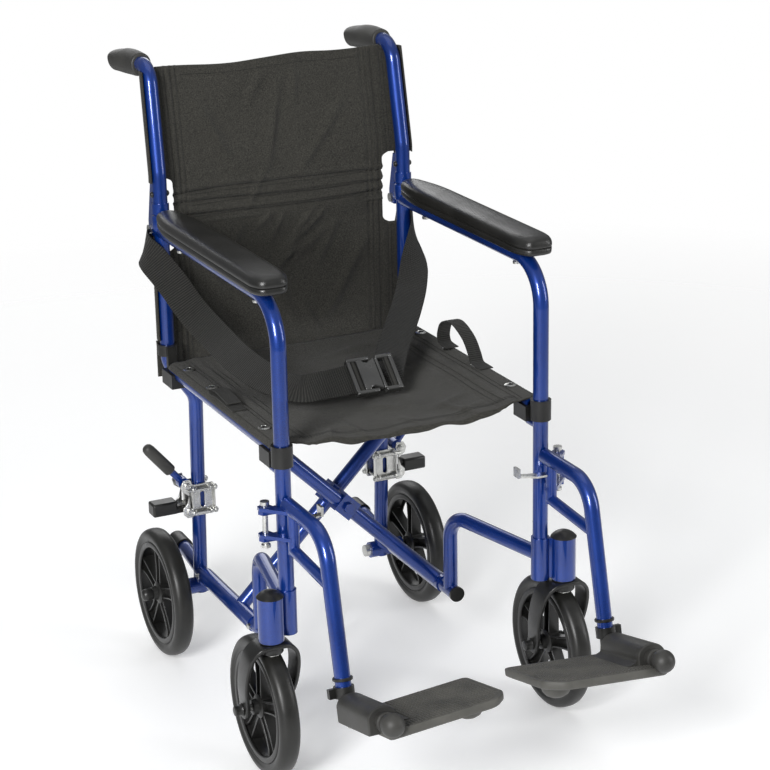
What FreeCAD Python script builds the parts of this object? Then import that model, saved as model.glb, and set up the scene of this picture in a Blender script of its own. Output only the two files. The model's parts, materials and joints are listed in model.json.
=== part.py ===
"""Folding transport wheelchair: four small wheels, sling seat and back, swing-away footrests.

The frame is +Z up with the sitter facing -Y, so +X is the sitter's left. The origin is on the
floor, under the middle of the chair's box. Every length is in millimetres.
"""
import FreeCAD, Part
import Sketcher
import math
import os
import re

from FreeCAD import Placement, Rotation, Vector

# Driving dimensions. Each becomes a named cell of the sheet.
SIZES = dict(
    # tube stock
    tube_radius=11.1, tube_bore=9.6, weld_gap=0.05, running_gap=0.05,
    # side frames
    half_width=200.0, lower_half_width=158.0, front_post_y=-130.0, rear_post_y=310.0,
    lower_post_y=329.0, kick_top=484.0, kick_bottom=423.0, kick_y=312.0, post_bottom=92.0,
    arm_height=690.0, arm_bend=62.0, post_bend=40.0, collar_height=716.0,
    rail_height=126.0, rail_weld_y=327.0, rail_front_y=58.0, link_y=76.0, link_height=251.0, link_bend=38.0,
    # cross brace and seat rails
    seat_height=478.0, seat_rail_x=198.0, seat_rail_front_y=-112.0, seat_rail_rear_y=284.0,
    cross_front_y=116.0, cross_rear_y=164.0, rail_sleeve_radius=13.0,
    rail_sleeve_front_y=100.0, rail_sleeve_rear_y=302.0, pivot_bolt_radius=4.0,
    pivot_block=32.0, pivot_boss_radius=13.0,
    # wheels and casters
    wheel_radius=101.6, tyre_width=30.0, tyre_depth=20.0, rim_depth=9.0, rim_width=25.0,
    hub_radius=17.0, hub_width=40.0, spoke_count=5, spoke_width=16.0, spoke_depth=17.0,
    axle_radius=5.0, rear_wheel_x=220.0, rear_wheel_y=330.0,
    barrel_x=231.0, barrel_y=-144.0, barrel_radius=18.0, barrel_bottom=216.0, barrel_top=281.0,
    sleeve_radius=13.5, stem_radius=8.0, caster_trail=35.0, fork_thickness=6.0, fork_leg_x=29.0,
    fork_leg_width=27.0, crown_bottom=205.5, crown_top=215.5,
    # canes
    cane_bend_height=776.0, cane_rake=28.0, cane_top=932.0, cane_top_x=197.0, cane_top_bend=34.0,
    grip_end_y=477.2, grip_start_y=373.0, grip_drop=8.0, grip_radius=16.0,
    back_pivot_y=334.0, back_pivot_z=688.0, ear_thickness=4.0, pin_radius=4.0,
    # footrests
    hanger_pivot_x=228.0, hanger_start_y=-144.0, hanger_top=410.0, hanger_corner_y=-267.0,
    hanger_end_y=-318.5, hanger_end_z=200.0, hanger_bend=48.0, hanger_hinge_y=-162.0,
    lug_thickness=5.0, upper_lug=398.0, lower_lug=359.0, strut_radius=8.0, strut_height=350.0,
    legrest_radius=9.5, footplate_rod_radius=8.0, footplate_barrel_radius=20.0,
    footplate_width=172.0, footplate_length=136.0, footplate_thickness=12.0, footplate_cant=4.0,
    ball_radius=16.0, footplate_rod_length=145.0,
    # arm pads, brakes, soft goods
    pad_width=56.0, pad_height=27.0, pad_front_y=-128.0, pad_rear_y=292.0,
    brake_pivot_x=183.0, brake_pivot_z=282.0, shoe_pivot_x=180.0, shoe_pivot_z=240.0,
    brake_lever_length=84.0, brake_grip_length=58.0,
    cloth=3.0, seat_front_y=-111.0, seat_rear_y=283.0, seat_sag=16.0,
    back_low=458.0, back_split=696.0, back_high=906.0, back_foot_y=328.0, back_top_y=350.0,
    belt_width=48.0, belt_cloth=2.5, buckle_y=32.0, buckle_rise=32.0, buckle_tilt=42.0,
)

doc = FreeCAD.newDocument("TransportWheelchair")
sheet = doc.addObject("Spreadsheet::Sheet", "Sizes")
for row, (alias, number) in enumerate(SIZES.items(), start=1):
    sheet.set("A%d" % row, alias)
    sheet.set("B%d" % row, str(number))
    sheet.setAlias("B%d" % row, alias)
doc.recompute()


def size(alias):
    """The number in one cell of the sheet."""
    return float(sheet.get(alias))


def cells(text):
    """An expression in aliases, such as "tube_radius + 2", as one in the sheet's cells."""
    return re.sub(r"[a-z_]+", lambda word: "Sizes." + word.group(), text)


def bind(thing, **properties):
    """Binds each property to an expression in the sheet's aliases."""
    for name, text in properties.items():
        thing.setExpression(name, cells(text))
    thing.recompute()
    return thing


X, Y, Z = Vector(1, 0, 0), Vector(0, 1, 0), Vector(0, 0, 1)
TUBE = "tube_radius"
PARTS = []


def part(name, thing):
    """Names one finished sub-part."""
    thing.Label = name
    PARTS.append(thing)
    return thing


# ---- shapes ---------------------------------------------------------------------------------


def rod(name, start, end, radius):
    """A round bar between two points. The radius is an expression in aliases."""
    bar = bind(doc.addObject("Part::Cylinder", name), Radius=radius)
    bar.Height = (end - start).Length
    bar.Placement = Placement(start, Rotation(Z, end - start))
    return bar


def block(name, centre, along_x, along_y, along_z, turn=Rotation()):
    """A box about its centre. Its three sizes are expressions in aliases."""
    box = bind(doc.addObject("Part::Box", name), Length=along_x, Width=along_y, Height=along_z)
    half = Vector(float(box.Length), float(box.Width), float(box.Height)) * 0.5
    box.Placement = Placement(centre - turn.multVec(half), turn)
    return box


def ball(name, centre, radius):
    sphere = bind(doc.addObject("Part::Sphere", name), Radius=radius)
    sphere.Placement = Placement(centre, Rotation())
    return sphere


def fuse(name, *things):
    whole = doc.addObject("Part::MultiFuse", name)
    whole.Shapes = list(things)
    return whole


def group(name, *things):
    """Several solids that don't touch, kept as one sub-part."""
    whole = doc.addObject("Part::Compound", name)
    whole.Links = list(things)
    return whole


def cut(name, base, *tools):
    tool = tools[0] if len(tools) == 1 else fuse(name + "_tools", *tools)
    rest = doc.addObject("Part::Cut", name)
    rest.Base, rest.Tool = base, tool
    return rest


def bent_path(name, points, bend):
    """Straight runs joined by tangent arcs of one radius, as one wire."""
    edges, start = [], points[0]
    for before, corner, after in zip(points, points[1:], points[2:]):
        back, on = (before - corner).normalize(), (after - corner).normalize()
        half_turn = (math.pi - back.getAngle(on)) / 2
        reach = bend * math.tan(half_turn)
        centre_way = (back + on).normalize()
        middle = corner + centre_way * (bend / math.cos(half_turn) - bend)
        first, last = corner + back * reach, corner + on * reach
        edges.append(Part.LineSegment(start, first).toShape())
        edges.append(Part.Arc(first, middle, last).toShape())
        start = last
    edges.append(Part.LineSegment(start, points[-1]).toShape())
    path = doc.addObject("Part::Feature", name)
    path.Shape = Part.Wire(edges)
    return path


def bar_along(name, path, radius):
    """A solid round bar along a path, by a swept circle whose radius is bound to the sheet."""
    section = bind(doc.addObject("Part::Circle", name + "_section"), Radius=radius)
    first = path.Shape.Edges[0]
    start, ahead = first.Vertexes[0].Point, first.tangentAt(first.FirstParameter)
    section.Placement = Placement(start, Rotation(Z, ahead))
    bar = doc.addObject("Part::Sweep", name)
    bar.Sections = [section]
    bar.Spine = (path, ["Edge%d" % n for n in range(1, len(path.Shape.Edges) + 1)])
    bar.Solid, bar.Frenet = True, False
    return bar


def tube(name, points, bend, *away):
    """A bent tube. Whatever is in away is cut off it, such as the tube that it is welded to."""
    path = bent_path(name + "_path", points, bend)
    outside = bar_along(name + "_outside", path, TUBE)
    inside = bar_along(name + "_inside", path, "tube_bore")
    return cut(name, outside, inside, *away)


def mirrored(name, thing):
    """The same piece on the sitter's right."""
    image = doc.addObject("Part::Mirroring", name)
    image.Source, image.Normal = thing, X
    return image


def plate(name, outline, thickness, role="XY_Plane", at=Placement(), round_edges=None):
    """A flat piece: a sketched outline padded to a thickness, half each side of its plane."""
    body = doc.addObject("PartDesign::Body", name)
    sketch = body.newObject("Sketcher::SketchObject", name + "_outline")
    plane = next(f for f in body.Origin.OriginFeatures if f.Role == role)
    sketch.AttachmentSupport, sketch.MapMode = [(plane, "")], "FlatFace"
    corners = [Vector(u, v, 0) for u, v in outline]
    for start, end in zip(corners, corners[1:] + corners[:1]):
        sketch.addGeometry(Part.LineSegment(start, end))
    for n in range(len(corners)):
        sketch.addConstraint(Sketcher.Constraint("Coincident", n, 2, (n + 1) % len(corners), 1))
    pad = body.newObject("PartDesign::Pad", name + "_pad")
    pad.Profile = sketch
    pad.SideType = "Symmetric"
    pad.setExpression("Length", cells(thickness))
    doc.recompute()
    if round_edges:
        fillet = body.newObject("PartDesign::Fillet", name + "_rounds")
        along = pad.Shape
        picked = []
        for n, edge in enumerate(along.Edges, start=1):
            way = edge.tangentAt(edge.FirstParameter)
            normal = {"XY_Plane": Z, "XZ_Plane": Y, "YZ_Plane": X}[role]
            if abs(way.dot(normal)) > 0.9:
                picked.append("Edge%d" % n)
        fillet.Base = (pad, picked)
        fillet.setExpression("Radius", cells(round_edges))
        body.Tip = fillet
    body.Placement = at
    return body


def point(x, y, z):
    return Vector(x, y, z)


def shifted(start, ahead, run):
    return start + ahead * run


# ---- named places ---------------------------------------------------------------------------

half_width, lower_x = size("half_width"), size("lower_half_width")
front_y, rear_y, lower_y = size("front_post_y"), size("rear_post_y"), size("lower_post_y")
tube_radius, rail_z, seat_z = size("tube_radius"), size("rail_height"), size("seat_height")
arm_z, wheel_radius = size("arm_height"), size("wheel_radius")
barrel_x, barrel_y = size("barrel_x"), size("barrel_y")
seat_x, cross_mid_y = size("seat_rail_x"), (size("cross_front_y") + size("cross_rear_y")) / 2

# The two brace tubes run from a lower rail to the opposite seat rail and cross over x = 0.
brace_way = Vector(lower_x + seat_x, 0, seat_z - rail_z).normalize()
pivot_z = rail_z + lower_x * (seat_z - rail_z) / (lower_x + seat_x)

# The lower leg of a hanger, and the footplate rod square to it.
leg_top = point(half_width, size("hanger_corner_y"), size("hanger_top"))
leg_end = point(half_width, size("hanger_end_y"), size("hanger_end_z"))
leg_way = (leg_end - leg_top).normalize()
rod_way = Vector(0, leg_way.z, -leg_way.y)
footplate_turn = Rotation(Y * -1, rod_way)
rod_corner = shifted(leg_end, leg_way, 12)


# ---- side frame -----------------------------------------------------------------------------


def side_frame():
    """The welded tubes of the left side, with the castings and fittings fixed to them."""
    post_points = [
        point(half_width, rear_y, size("collar_height")),
        point(half_width, rear_y, size("kick_top")),
        point(lower_x, size("kick_y"), size("kick_bottom")),
        point(lower_x, lower_y, size("post_bottom")),
    ]
    post_path = bent_path("post_path", post_points, size("post_bend"))
    post_solid = bar_along("post_solid", post_path, "tube_radius + weld_gap")
    axle_at = point(lower_x, size("rear_wheel_y"), wheel_radius)
    axle_tube = rod("axle_tube", axle_at - X * 20, axle_at + X * 37, "rail_sleeve_radius")
    axle_bore = rod("axle_bore", axle_at - X * 21, axle_at + X * 38, "axle_radius + weld_gap")
    ear_at = point(half_width, size("back_pivot_y"), size("back_pivot_z"))
    ear = plate("post_ear", [(-26, -16), (8, -9), (9, 6), (2, 10), (-26, 12)], "ear_thickness",
                "YZ_Plane", Placement(ear_at, Rotation()))
    ear_pin = rod("ear_pin_hole", ear_at - X * 9, ear_at + X * 9, "pin_radius + running_gap")
    post_inside = bar_along("post_inside", post_path, "tube_bore")
    post = fuse("post_whole", bar_along("post_outside", post_path, TUBE), axle_tube, ear)
    rear_post = part("rear_post_left", cut("rear_post", post, post_inside, axle_bore, ear_pin))

    arm_points = [
        point(half_width, front_y, size("barrel_bottom")),
        point(half_width, front_y, arm_z),
        point(half_width, rear_y, arm_z),
    ]
    arm_tube = tube("arm_tube_only", arm_points, size("arm_bend"), post_solid)
    lugs, holes = [], []
    for label, height in (("upper_lug", size("upper_lug")), ("lower_lug", size("lower_lug"))):
        lug_at = point(half_width, front_y, height + size("lug_thickness") / 2)
        lugs.append(plate(label + "_plate", [(0, -10), (34, -8), (38, 0), (34, 8), (0, 10)],
                          "lug_thickness", "XY_Plane", Placement(lug_at, Rotation())))
    pin_at = point(size("hanger_pivot_x"), front_y, 0)
    holes.append(rod("lug_pin_hole", pin_at + Z * 340, pin_at + Z * 420, "pin_radius + weld_gap"))
    stub = rod("seat_stub", point(half_width, front_y, 450), point(half_width, front_y + 34, 450),
               "pin_radius + 2")
    bore = rod("arm_tube_clear", point(half_width, front_y, 300), point(half_width, front_y, 500),
               "tube_bore")
    arm_whole = fuse("arm_tube_whole", arm_tube, stub, *lugs)
    armrest = part("armrest_tube_left", cut("armrest_tube", arm_whole, bore, *holes))

    weld_y = size("rail_weld_y")
    rail_points = [point(lower_x, size("rail_front_y"), rail_z), point(lower_x, weld_y, rail_z)]
    rail = tube("rail_only", rail_points, 1, post_solid)
    lever_points = [point(lower_x, weld_y, rail_z + 3), point(lower_x, lower_y + 60, rail_z + 14),
                    point(lower_x, lower_y + 98, rail_z + 15)]
    lever = tube("tipping_lever", lever_points, 60, post_solid)
    rail_pair = part("lower_rail_left", group("lower_rail", rail, lever))

    rail_solid = rod("rail_solid", point(lower_x, 0, rail_z), point(lower_x, 200, rail_z),
                     "tube_radius + weld_gap")
    sleeve_solid = rod("sleeve_solid", point(half_width, front_y, 200),
                       point(half_width, front_y, 300), "sleeve_radius + weld_gap")
    link_points = [
        point(lower_x, size("link_y"), rail_z),
        point(lower_x, size("link_y"), size("link_height")),
        point(half_width, front_y, size("link_height") + 2),
    ]
    link = part("front_link_left", tube("front_link", link_points, size("link_bend"),
                                        rail_solid, sleeve_solid))

    low, high = size("barrel_bottom"), size("barrel_top")
    barrel = rod("barrel", point(barrel_x, barrel_y, low), point(barrel_x, barrel_y, high),
                 "barrel_radius")
    sleeve = rod("sleeve", point(half_width, front_y, low), point(half_width, front_y, high),
                 "sleeve_radius")
    middle = (low + high) / 2
    web = block("barrel_web", point((barrel_x + half_width) / 2, (barrel_y + front_y) / 2, middle),
                "14", "9", "barrel_top - barrel_bottom - 4",
                Rotation(X, point(barrel_x - half_width, barrel_y - front_y, 0)))
    post_room = rod("sleeve_bore", point(half_width, front_y, low - 1),
                    point(half_width, front_y, high + 1), "tube_radius + weld_gap")
    stem_room = rod("stem_bore", point(barrel_x, barrel_y, low - 1),
                    point(barrel_x, barrel_y, high + 1), "stem_radius + running_gap")
    housing = part("caster_housing_left", cut("caster_housing", fuse("housing", barrel, sleeve, web),
                                              post_room, stem_room))
    return [rear_post, armrest, rail_pair, link, housing]


def plastics():
    """The small black mouldings of one side: seat rail saddles, end caps and the lever's grip."""
    post_room = rod("saddle_post_room", point(half_width, front_y, 430),
                    point(half_width, front_y, 520), "tube_radius + weld_gap")
    front_ring = rod("front_ring", point(half_width, front_y, 462), point(half_width, front_y, 492),
                     "tube_radius + 4")
    front_block = block("front_block", point(seat_x, front_y + 28, seat_z - 9), "34", "36", "22")
    front_slot = rod("front_slot", point(seat_x, front_y + 17, seat_z),
                     point(seat_x, front_y + 60, seat_z), "tube_radius + 0.5")
    front = cut("front_saddle", fuse("front_saddle_whole", front_ring, front_block),
                front_slot, post_room)
    rear_room = rod("rear_post_room", point(half_width, rear_y, 440),
                    point(half_width, rear_y, 520), "tube_radius + weld_gap")
    rear_ring = rod("rear_ring", point(half_width, rear_y, 497), point(half_width, rear_y, 514),
                    "tube_radius + 4")
    rear_block = block("rear_block", point(seat_x, rear_y - 33, seat_z - 9), "34", "42", "22")
    rear_wall = block("rear_wall", point(half_width, rear_y - 16, 492), "14", "8", "44")
    rear_slot = rod("rear_slot", point(seat_x, rear_y - 60, seat_z),
                    point(seat_x, rear_y - 23, seat_z), "tube_radius + 0.5")
    rear = cut("rear_saddle", fuse("rear_saddle_whole", rear_ring, rear_block, rear_wall),
               rear_slot, rear_room)
    front_of_rail = point(lower_x, size("rail_front_y"), rail_z)
    rail_cap = rod("rail_cap", front_of_rail - Y * 5, front_of_rail - Y * 0.05, "tube_radius + 0.8")
    top = point(barrel_x, barrel_y, size("barrel_top") + 0.05)
    dome = ball("cap_dome", top - Z * 14, "barrel_radius + 5.8")
    dome_room = rod("cap_room", top - Z * 60, top, "barrel_radius + 12")
    caster_cap = cut("caster_cap", dome, dome_room)
    lever_end = point(lower_x, lower_y + 98, rail_z + 15)
    lever_way = Vector(0, 38, 1).normalize()
    grip = rod("tip_grip", lever_end - lever_way * 30, lever_end + lever_way * 6, "tube_radius + 3.5")
    grip_room = rod("tip_room", lever_end - lever_way * 40, lever_end + lever_way * 0.05,
                    "tube_radius + weld_gap")
    tip_grip = cut("tipping_grip", grip, grip_room)
    return part("frame_plastics_left", group("frame_plastics", front, rear, rail_cap, caster_cap,
                                             tip_grip))


def arm_pad():
    """The moulded pad on the armrest tube, a little longer than it is worn."""
    front, rear = size("pad_front_y"), size("pad_rear_y")
    reach, side = (rear - front) / 2, size("pad_width") / 2
    outline = [(-side + 6, -reach), (side - 6, -reach), (side, -reach + 12), (side, reach - 30),
               (side - 10, reach), (-side + 10, reach), (-side, reach - 30), (-side, -reach + 12)]
    base = arm_z + tube_radius + 0.1 + size("pad_height") / 2
    at = Placement(point(half_width, (front + rear) / 2, base), Rotation())
    return part("arm_pad_left", plate("arm_pad", outline, "pad_height", "XY_Plane", at, "5"))


def hardware():
    """Plated fasteners fixed to one side: rear axle bolt, back pivot bolt and footrest pin."""
    axle_at = point(0, size("rear_wheel_y"), wheel_radius)
    axle = rod("rear_axle", axle_at + X * (lower_x - 21), axle_at + X * 248, "axle_radius")
    nut = rod("rear_axle_nut", axle_at + X * (lower_x - 29), axle_at + X * (lower_x - 20.05),
              "axle_radius + 4.5")
    head = rod("rear_axle_head", axle_at + X * 242, axle_at + X * 249, "axle_radius + 4.5")
    ear_at = point(half_width, size("back_pivot_y"), size("back_pivot_z"))
    pivot = rod("back_pivot_bolt", ear_at - X * 8.5, ear_at + X * 8.5, "pin_radius")
    bolt_head = rod("back_pivot_head", ear_at + X * 8.2, ear_at + X * 12.5, "pin_radius + 3")
    bolt_nut = rod("back_pivot_nut", ear_at - X * 12.5, ear_at - X * 8.2, "pin_radius + 3")
    pin_at = point(size("hanger_pivot_x"), front_y, 0)
    pin = rod("hanger_pin", pin_at + Z * 351, pin_at + Z * 413, "pin_radius")
    pin_head = rod("hanger_pin_head", pin_at + Z * 411, pin_at + Z * 416, "pin_radius + 2.5")
    pin_foot = rod("hanger_pin_foot", pin_at + Z * 349, pin_at + Z * 353, "pin_radius + 2.5")
    return part("frame_hardware_left", group(
        "frame_hardware", fuse("rear_axle_bolt", axle, nut, head),
        fuse("back_pivot", pivot, bolt_head, bolt_nut),
        fuse("hanger_pin_whole", pin, pin_head, pin_foot)))


# ---- brakes ---------------------------------------------------------------------------------


def brake():
    """The wheel lock: a clamped bracket, a hand lever and a shoe that comes down on the tyre."""
    y_at = lower_y - 8.5
    lever_at = point(size("brake_pivot_x"), y_at, size("brake_pivot_z"))
    shoe_at = point(size("shoe_pivot_x"), y_at, size("shoe_pivot_z"))
    cheeks = []
    for label, offset in (("front", -15.5), ("rear", 15.5)):
        outline = [(-24, -40), (20, -40), (36, -26), (36, -8), (30, 0), (36, 18), (34, 34), (24, 42),
                   (-24, 42)]
        cheeks.append(plate("cheek_" + label, outline, "3", "XZ_Plane",
                            Placement(point(lower_x, y_at + offset, 254), Rotation())))
    back_strap = block("cheek_strap", point(lower_x - 22, y_at, 255), "4", "34", "80")
    holes, bolts = [], []
    for label, x_at, height in (("upper", lower_x - 15.5, 286), ("lower", lower_x - 15.5, 224),
                                ("outer", lower_x + 16, 224)):
        start, end = point(x_at, y_at - 17.2, height), point(x_at, y_at + 17.2, height)
        holes.append(rod(label + "_bolt_hole", start, end, "pin_radius - 1 + running_gap"))
        shank = rod(label + "_shank", start - Y * 4, end + Y * 4, "pin_radius - 1")
        nut = rod(label + "_acorn", start - Y * 8, start - Y * 0.05, "pin_radius + 1.5")
        head = rod(label + "_head", end + Y * 0.05, end + Y * 4, "pin_radius + 1.5")
        bolts.append(fuse(label + "_bolt", shank, nut, head))
    for label, centre in (("lever", lever_at), ("shoe", shoe_at)):
        holes.append(rod(label + "_pivot_hole", centre - Y * 20, centre + Y * 20,
                         "pin_radius - 1 + running_gap"))
        bolts.append(fuse(label + "_pivot", rod(label + "_pivot_shank", centre - Y * 19,
                                                centre + Y * 19, "pin_radius - 1"),
                          rod(label + "_pivot_head", centre - Y * 21, centre - Y * 17.3,
                              "pin_radius + 0.5"),
                          rod(label + "_pivot_tail", centre + Y * 17.3, centre + Y * 21,
                              "pin_radius + 0.5")))
    bracket = cut("brake_bracket_plates", fuse("brake_plates", back_strap, *cheeks), *holes)
    whole = part("brake_bracket_left", group("brake_bracket", bracket, *bolts))

    lever_way = Vector(62, 0, 74).normalize()
    length = size("brake_lever_length")
    arm = rod("brake_arm", shifted(lever_at, lever_way, 6), shifted(lever_at, lever_way, length),
              "5.5")
    eye = rod("brake_eye", lever_at - Y * 7, lever_at + Y * 7, "9")
    eye_hole = rod("brake_eye_hole", lever_at - Y * 9, lever_at + Y * 9,
                   "pin_radius - 1 + running_gap")
    lever = part("brake_lever_left", cut("brake_lever", fuse("brake_lever_whole", arm, eye), eye_hole))
    grip_start = length + 6 - size("brake_grip_length")
    grip = rod("brake_grip_outside", shifted(lever_at, lever_way, grip_start),
               shifted(lever_at, lever_way, length + 6), "10.5")
    grip_room = rod("brake_grip_room", shifted(lever_at, lever_way, grip_start - 6),
                    shifted(lever_at, lever_way, length + 0.05), "5.5 + weld_gap")
    grip = part("brake_grip_left", cut("brake_grip", grip, grip_room))

    wheel_x = size("rear_wheel_x")
    shoe_arm = plate("shoe_arm", [(-6, -6), (6, -7), (wheel_x - shoe_at.x - 14, -8),
                                  (wheel_x - shoe_at.x + 14, -8), (wheel_x - shoe_at.x + 14, -3),
                                  (wheel_x - shoe_at.x - 14, -3), (4, 6), (-6, 6)], "12",
                     "XZ_Plane", Placement(shoe_at, Rotation()))
    pad = block("shoe_pad", point(wheel_x, y_at + 6, shoe_at.z + 7), "30", "34", "21")
    shoe_hole = rod("shoe_hole", shoe_at - Y * 9, shoe_at + Y * 9, "pin_radius - 1 + running_gap")
    shoe = part("brake_shoe_left", cut("brake_shoe", fuse("shoe_whole", shoe_arm, pad), shoe_hole))
    return [whole, lever, grip, shoe]


# ---- back canes -----------------------------------------------------------------------------


def cane():
    """The push cane above the back hinge, with its ears, grip and release lever."""
    low = size("collar_height") + 1
    top_x, raked_y = size("cane_top_x"), rear_y + size("cane_rake")
    points = [
        point(half_width, rear_y, low),
        point(half_width, rear_y, size("cane_bend_height")),
        point(top_x, raked_y, size("cane_top")),
        point(top_x, size("grip_end_y"), size("cane_top") - size("grip_drop")),
    ]
    pipe = tube("cane_tube", points, size("cane_top_bend"))
    pivot = point(0, size("back_pivot_y"), size("back_pivot_z"))
    ears, spacing = [], 6.2
    for label, side in (("inner", -1), ("outer", 1)):
        at = Placement(point(half_width + side * spacing, pivot.y, pivot.z), Rotation())
        ears.append(plate("cane_ear_" + label, [(-9, -9), (9, -9), (9, 12), (-6, 72), (-16, 72),
                                                (-16, 30), (-9, 30)], "ear_thickness",
                          "YZ_Plane", at))
    holes = rod("cane_ear_holes", pivot + X * (half_width - 20), pivot + X * (half_width + 20),
                "pin_radius + running_gap")
    inside_path = bent_path("cane_clear_path", points, size("cane_top_bend"))
    inside = bar_along("cane_clear", inside_path, "tube_bore")
    post_room = rod("cane_post_room", point(half_width, rear_y, 640),
                    point(half_width, rear_y, low - 0.5), "tube_radius + 1")
    collar = rod("cane_collar", point(half_width, rear_y, low),
                 point(half_width, rear_y, low + 16), "tube_radius + 2")
    whole = part("cane_left", cut("cane", fuse("cane_whole", pipe, collar, *ears),
                                  holes, inside, post_room))

    start = point(top_x, size("grip_start_y"), 0)
    slope = size("grip_drop") / (size("grip_end_y") - raked_y)
    way = Vector(0, 1, -slope).normalize()
    start.z = size("cane_top") - slope * (start.y - raked_y)
    end = point(top_x, size("grip_end_y"), size("cane_top") - size("grip_drop"))
    sleeve = rod("grip_outside", start, end + way * 4, "grip_radius")
    room = rod("grip_room", start - way * 5, end + way * 0.05, "tube_radius + weld_gap")
    grip = part("grip_left", cut("grip", sleeve, room))

    lever_foot = point(half_width, rear_y + 19, size("collar_height") + 16)
    lever = plate("release_plate", [(-4, -4), (3, -4), (8, 28), (18, 44), (12, 46), (1, 32)], "4.6",
                  "YZ_Plane", Placement(lever_foot, Rotation()))
    release = part("back_release_left", lever)
    return [whole, grip, release]


# ---- wheels ---------------------------------------------------------------------------------


def wheel(name, centre):
    """A solid tyre on a five-spoke moulded wheel that turns about X."""
    label = name + "_"
    half_tyre = size("tyre_width") / 2
    body = doc.addObject("PartDesign::Body", label + "tyre_body")
    sketch = body.newObject("Sketcher::SketchObject", label + "tyre_section")
    plane = next(f for f in body.Origin.OriginFeatures if f.Role == "XY_Plane")
    sketch.AttachmentSupport, sketch.MapMode = [(plane, "")], "FlatFace"
    inner, shoulder = wheel_radius - size("tyre_depth"), wheel_radius - 11
    foot = half_tyre - 3
    sketch.addGeometry(Part.LineSegment(Vector(-foot, inner, 0), Vector(foot, inner, 0)))
    sketch.addGeometry(Part.LineSegment(Vector(foot, inner, 0), Vector(half_tyre, shoulder, 0)))
    sketch.addGeometry(Part.Arc(Vector(half_tyre, shoulder, 0), Vector(0, wheel_radius, 0),
                                Vector(-half_tyre, shoulder, 0)))
    sketch.addGeometry(Part.LineSegment(Vector(-half_tyre, shoulder, 0), Vector(-foot, inner, 0)))
    turned = body.newObject("PartDesign::Revolution", label + "tyre_turn")
    turned.Profile = sketch
    turned.ReferenceAxis = (sketch, ["H_Axis"])
    turned.Angle = 360
    body.Placement = Placement(centre, Rotation())
    tyre = part(label + "tyre", body)

    def disc(piece, width, radius):
        reach = X * (size(width) / 2)
        return rod(label + piece, centre - reach, centre + reach, radius)

    rim_radius = "wheel_radius - tyre_depth - weld_gap"
    rim = cut(label + "rim", disc("rim_disc", "rim_width", rim_radius),
              disc("rim_hole", "tyre_width", "wheel_radius - tyre_depth - rim_depth"))
    hub = disc("hub", "hub_width", "hub_radius")
    spokes = []
    reach = wheel_radius - size("tyre_depth") - size("rim_depth") + 3
    for n in range(int(size("spoke_count"))):
        angle = 90 + n * 360 / size("spoke_count")
        turn = Rotation(X, angle)
        middle = centre + turn.multVec(Y) * ((reach + 10) / 2)
        spokes.append(block("%sspoke_%d" % (label, n), middle, "spoke_depth",
                            "%g" % (reach - 10), "spoke_width", turn))
    bore = disc("bore", "hub_width", "axle_radius + running_gap")
    moulding = part(label + "wheel", cut(label + "moulding", fuse(label + "spider", rim, hub,
                                                                  *spokes), bore))
    return [tyre, moulding]


def fork():
    """The caster fork: stem, crown and two legs that bow out past the wheel, with its axle."""
    axle = point(barrel_x, barrel_y + size("caster_trail"), wheel_radius)
    crown_low, crown_high = size("crown_bottom"), size("crown_top")
    stem = rod("fork_stem", point(barrel_x, barrel_y, crown_low + 1),
               point(barrel_x, barrel_y, size("barrel_top") - 2), "stem_radius")
    crown = block("fork_crown", point(barrel_x, barrel_y + 7, (crown_low + crown_high) / 2),
                  "2 * fork_leg_x - 10", "fork_leg_width + 6", "crown_top - crown_bottom")
    pieces = [stem, crown]
    thick = size("fork_thickness")
    for label, side in (("inner", -1), ("outer", 1)):
        leg_x = side * size("fork_leg_x")
        bow_x = side * (size("fork_leg_x") + 7)
        middle_y = barrel_y + 7
        outline = [(side * 18, crown_low), (bow_x - side * thick, crown_low - 22),
                   (bow_x - side * thick, wheel_radius + 42), (leg_x - side * thick, wheel_radius + 8),
                   (leg_x - side * thick, wheel_radius - 16), (leg_x, wheel_radius - 16),
                   (leg_x, wheel_radius + 8), (bow_x, wheel_radius + 42), (bow_x, crown_low - 20),
                   (side * 24, crown_high)]
        leg = plate("fork_leg_" + label, [(x, z) for x, z in outline], "fork_leg_width + 44",
                    "XZ_Plane", Placement(point(barrel_x, middle_y + 14, 0), Rotation()))
        shape_y = [(barrel_y - 7, crown_high + 2), (barrel_y - 9, crown_low - 18),
                   (axle.y - 14, wheel_radius), (axle.y - 9, wheel_radius - 13),
                   (axle.y + 9, wheel_radius - 13), (axle.y + 14, wheel_radius),
                   (barrel_y + 22, crown_low - 18), (barrel_y + 20, crown_high + 2)]
        side_shape = plate("fork_side_" + label, shape_y, "30", "YZ_Plane",
                           Placement(point(barrel_x + side * 30, 0, 0), Rotation()))
        common = doc.addObject("Part::Common", "fork_arm_" + label)
        common.Base, common.Tool = leg, side_shape
        pieces.append(common)
    hole = rod("fork_axle_hole", axle - X * 60, axle + X * 60, "axle_radius + weld_gap")
    moulding = cut("fork_moulding", fuse("fork_whole", *pieces), hole)
    shank = rod("fork_axle_shank", axle - X * 40, axle + X * 40, "axle_radius")
    heads = [rod("fork_axle_head_%d" % n, axle + X * (side * 29.2), axle + X * (side * 41), "8")
             for n, side in enumerate((-1, 1))]
    return part("fork_left", group("fork", moulding, fuse("fork_axle", shank, *heads)))


# ---- footrests ------------------------------------------------------------------------------


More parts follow.
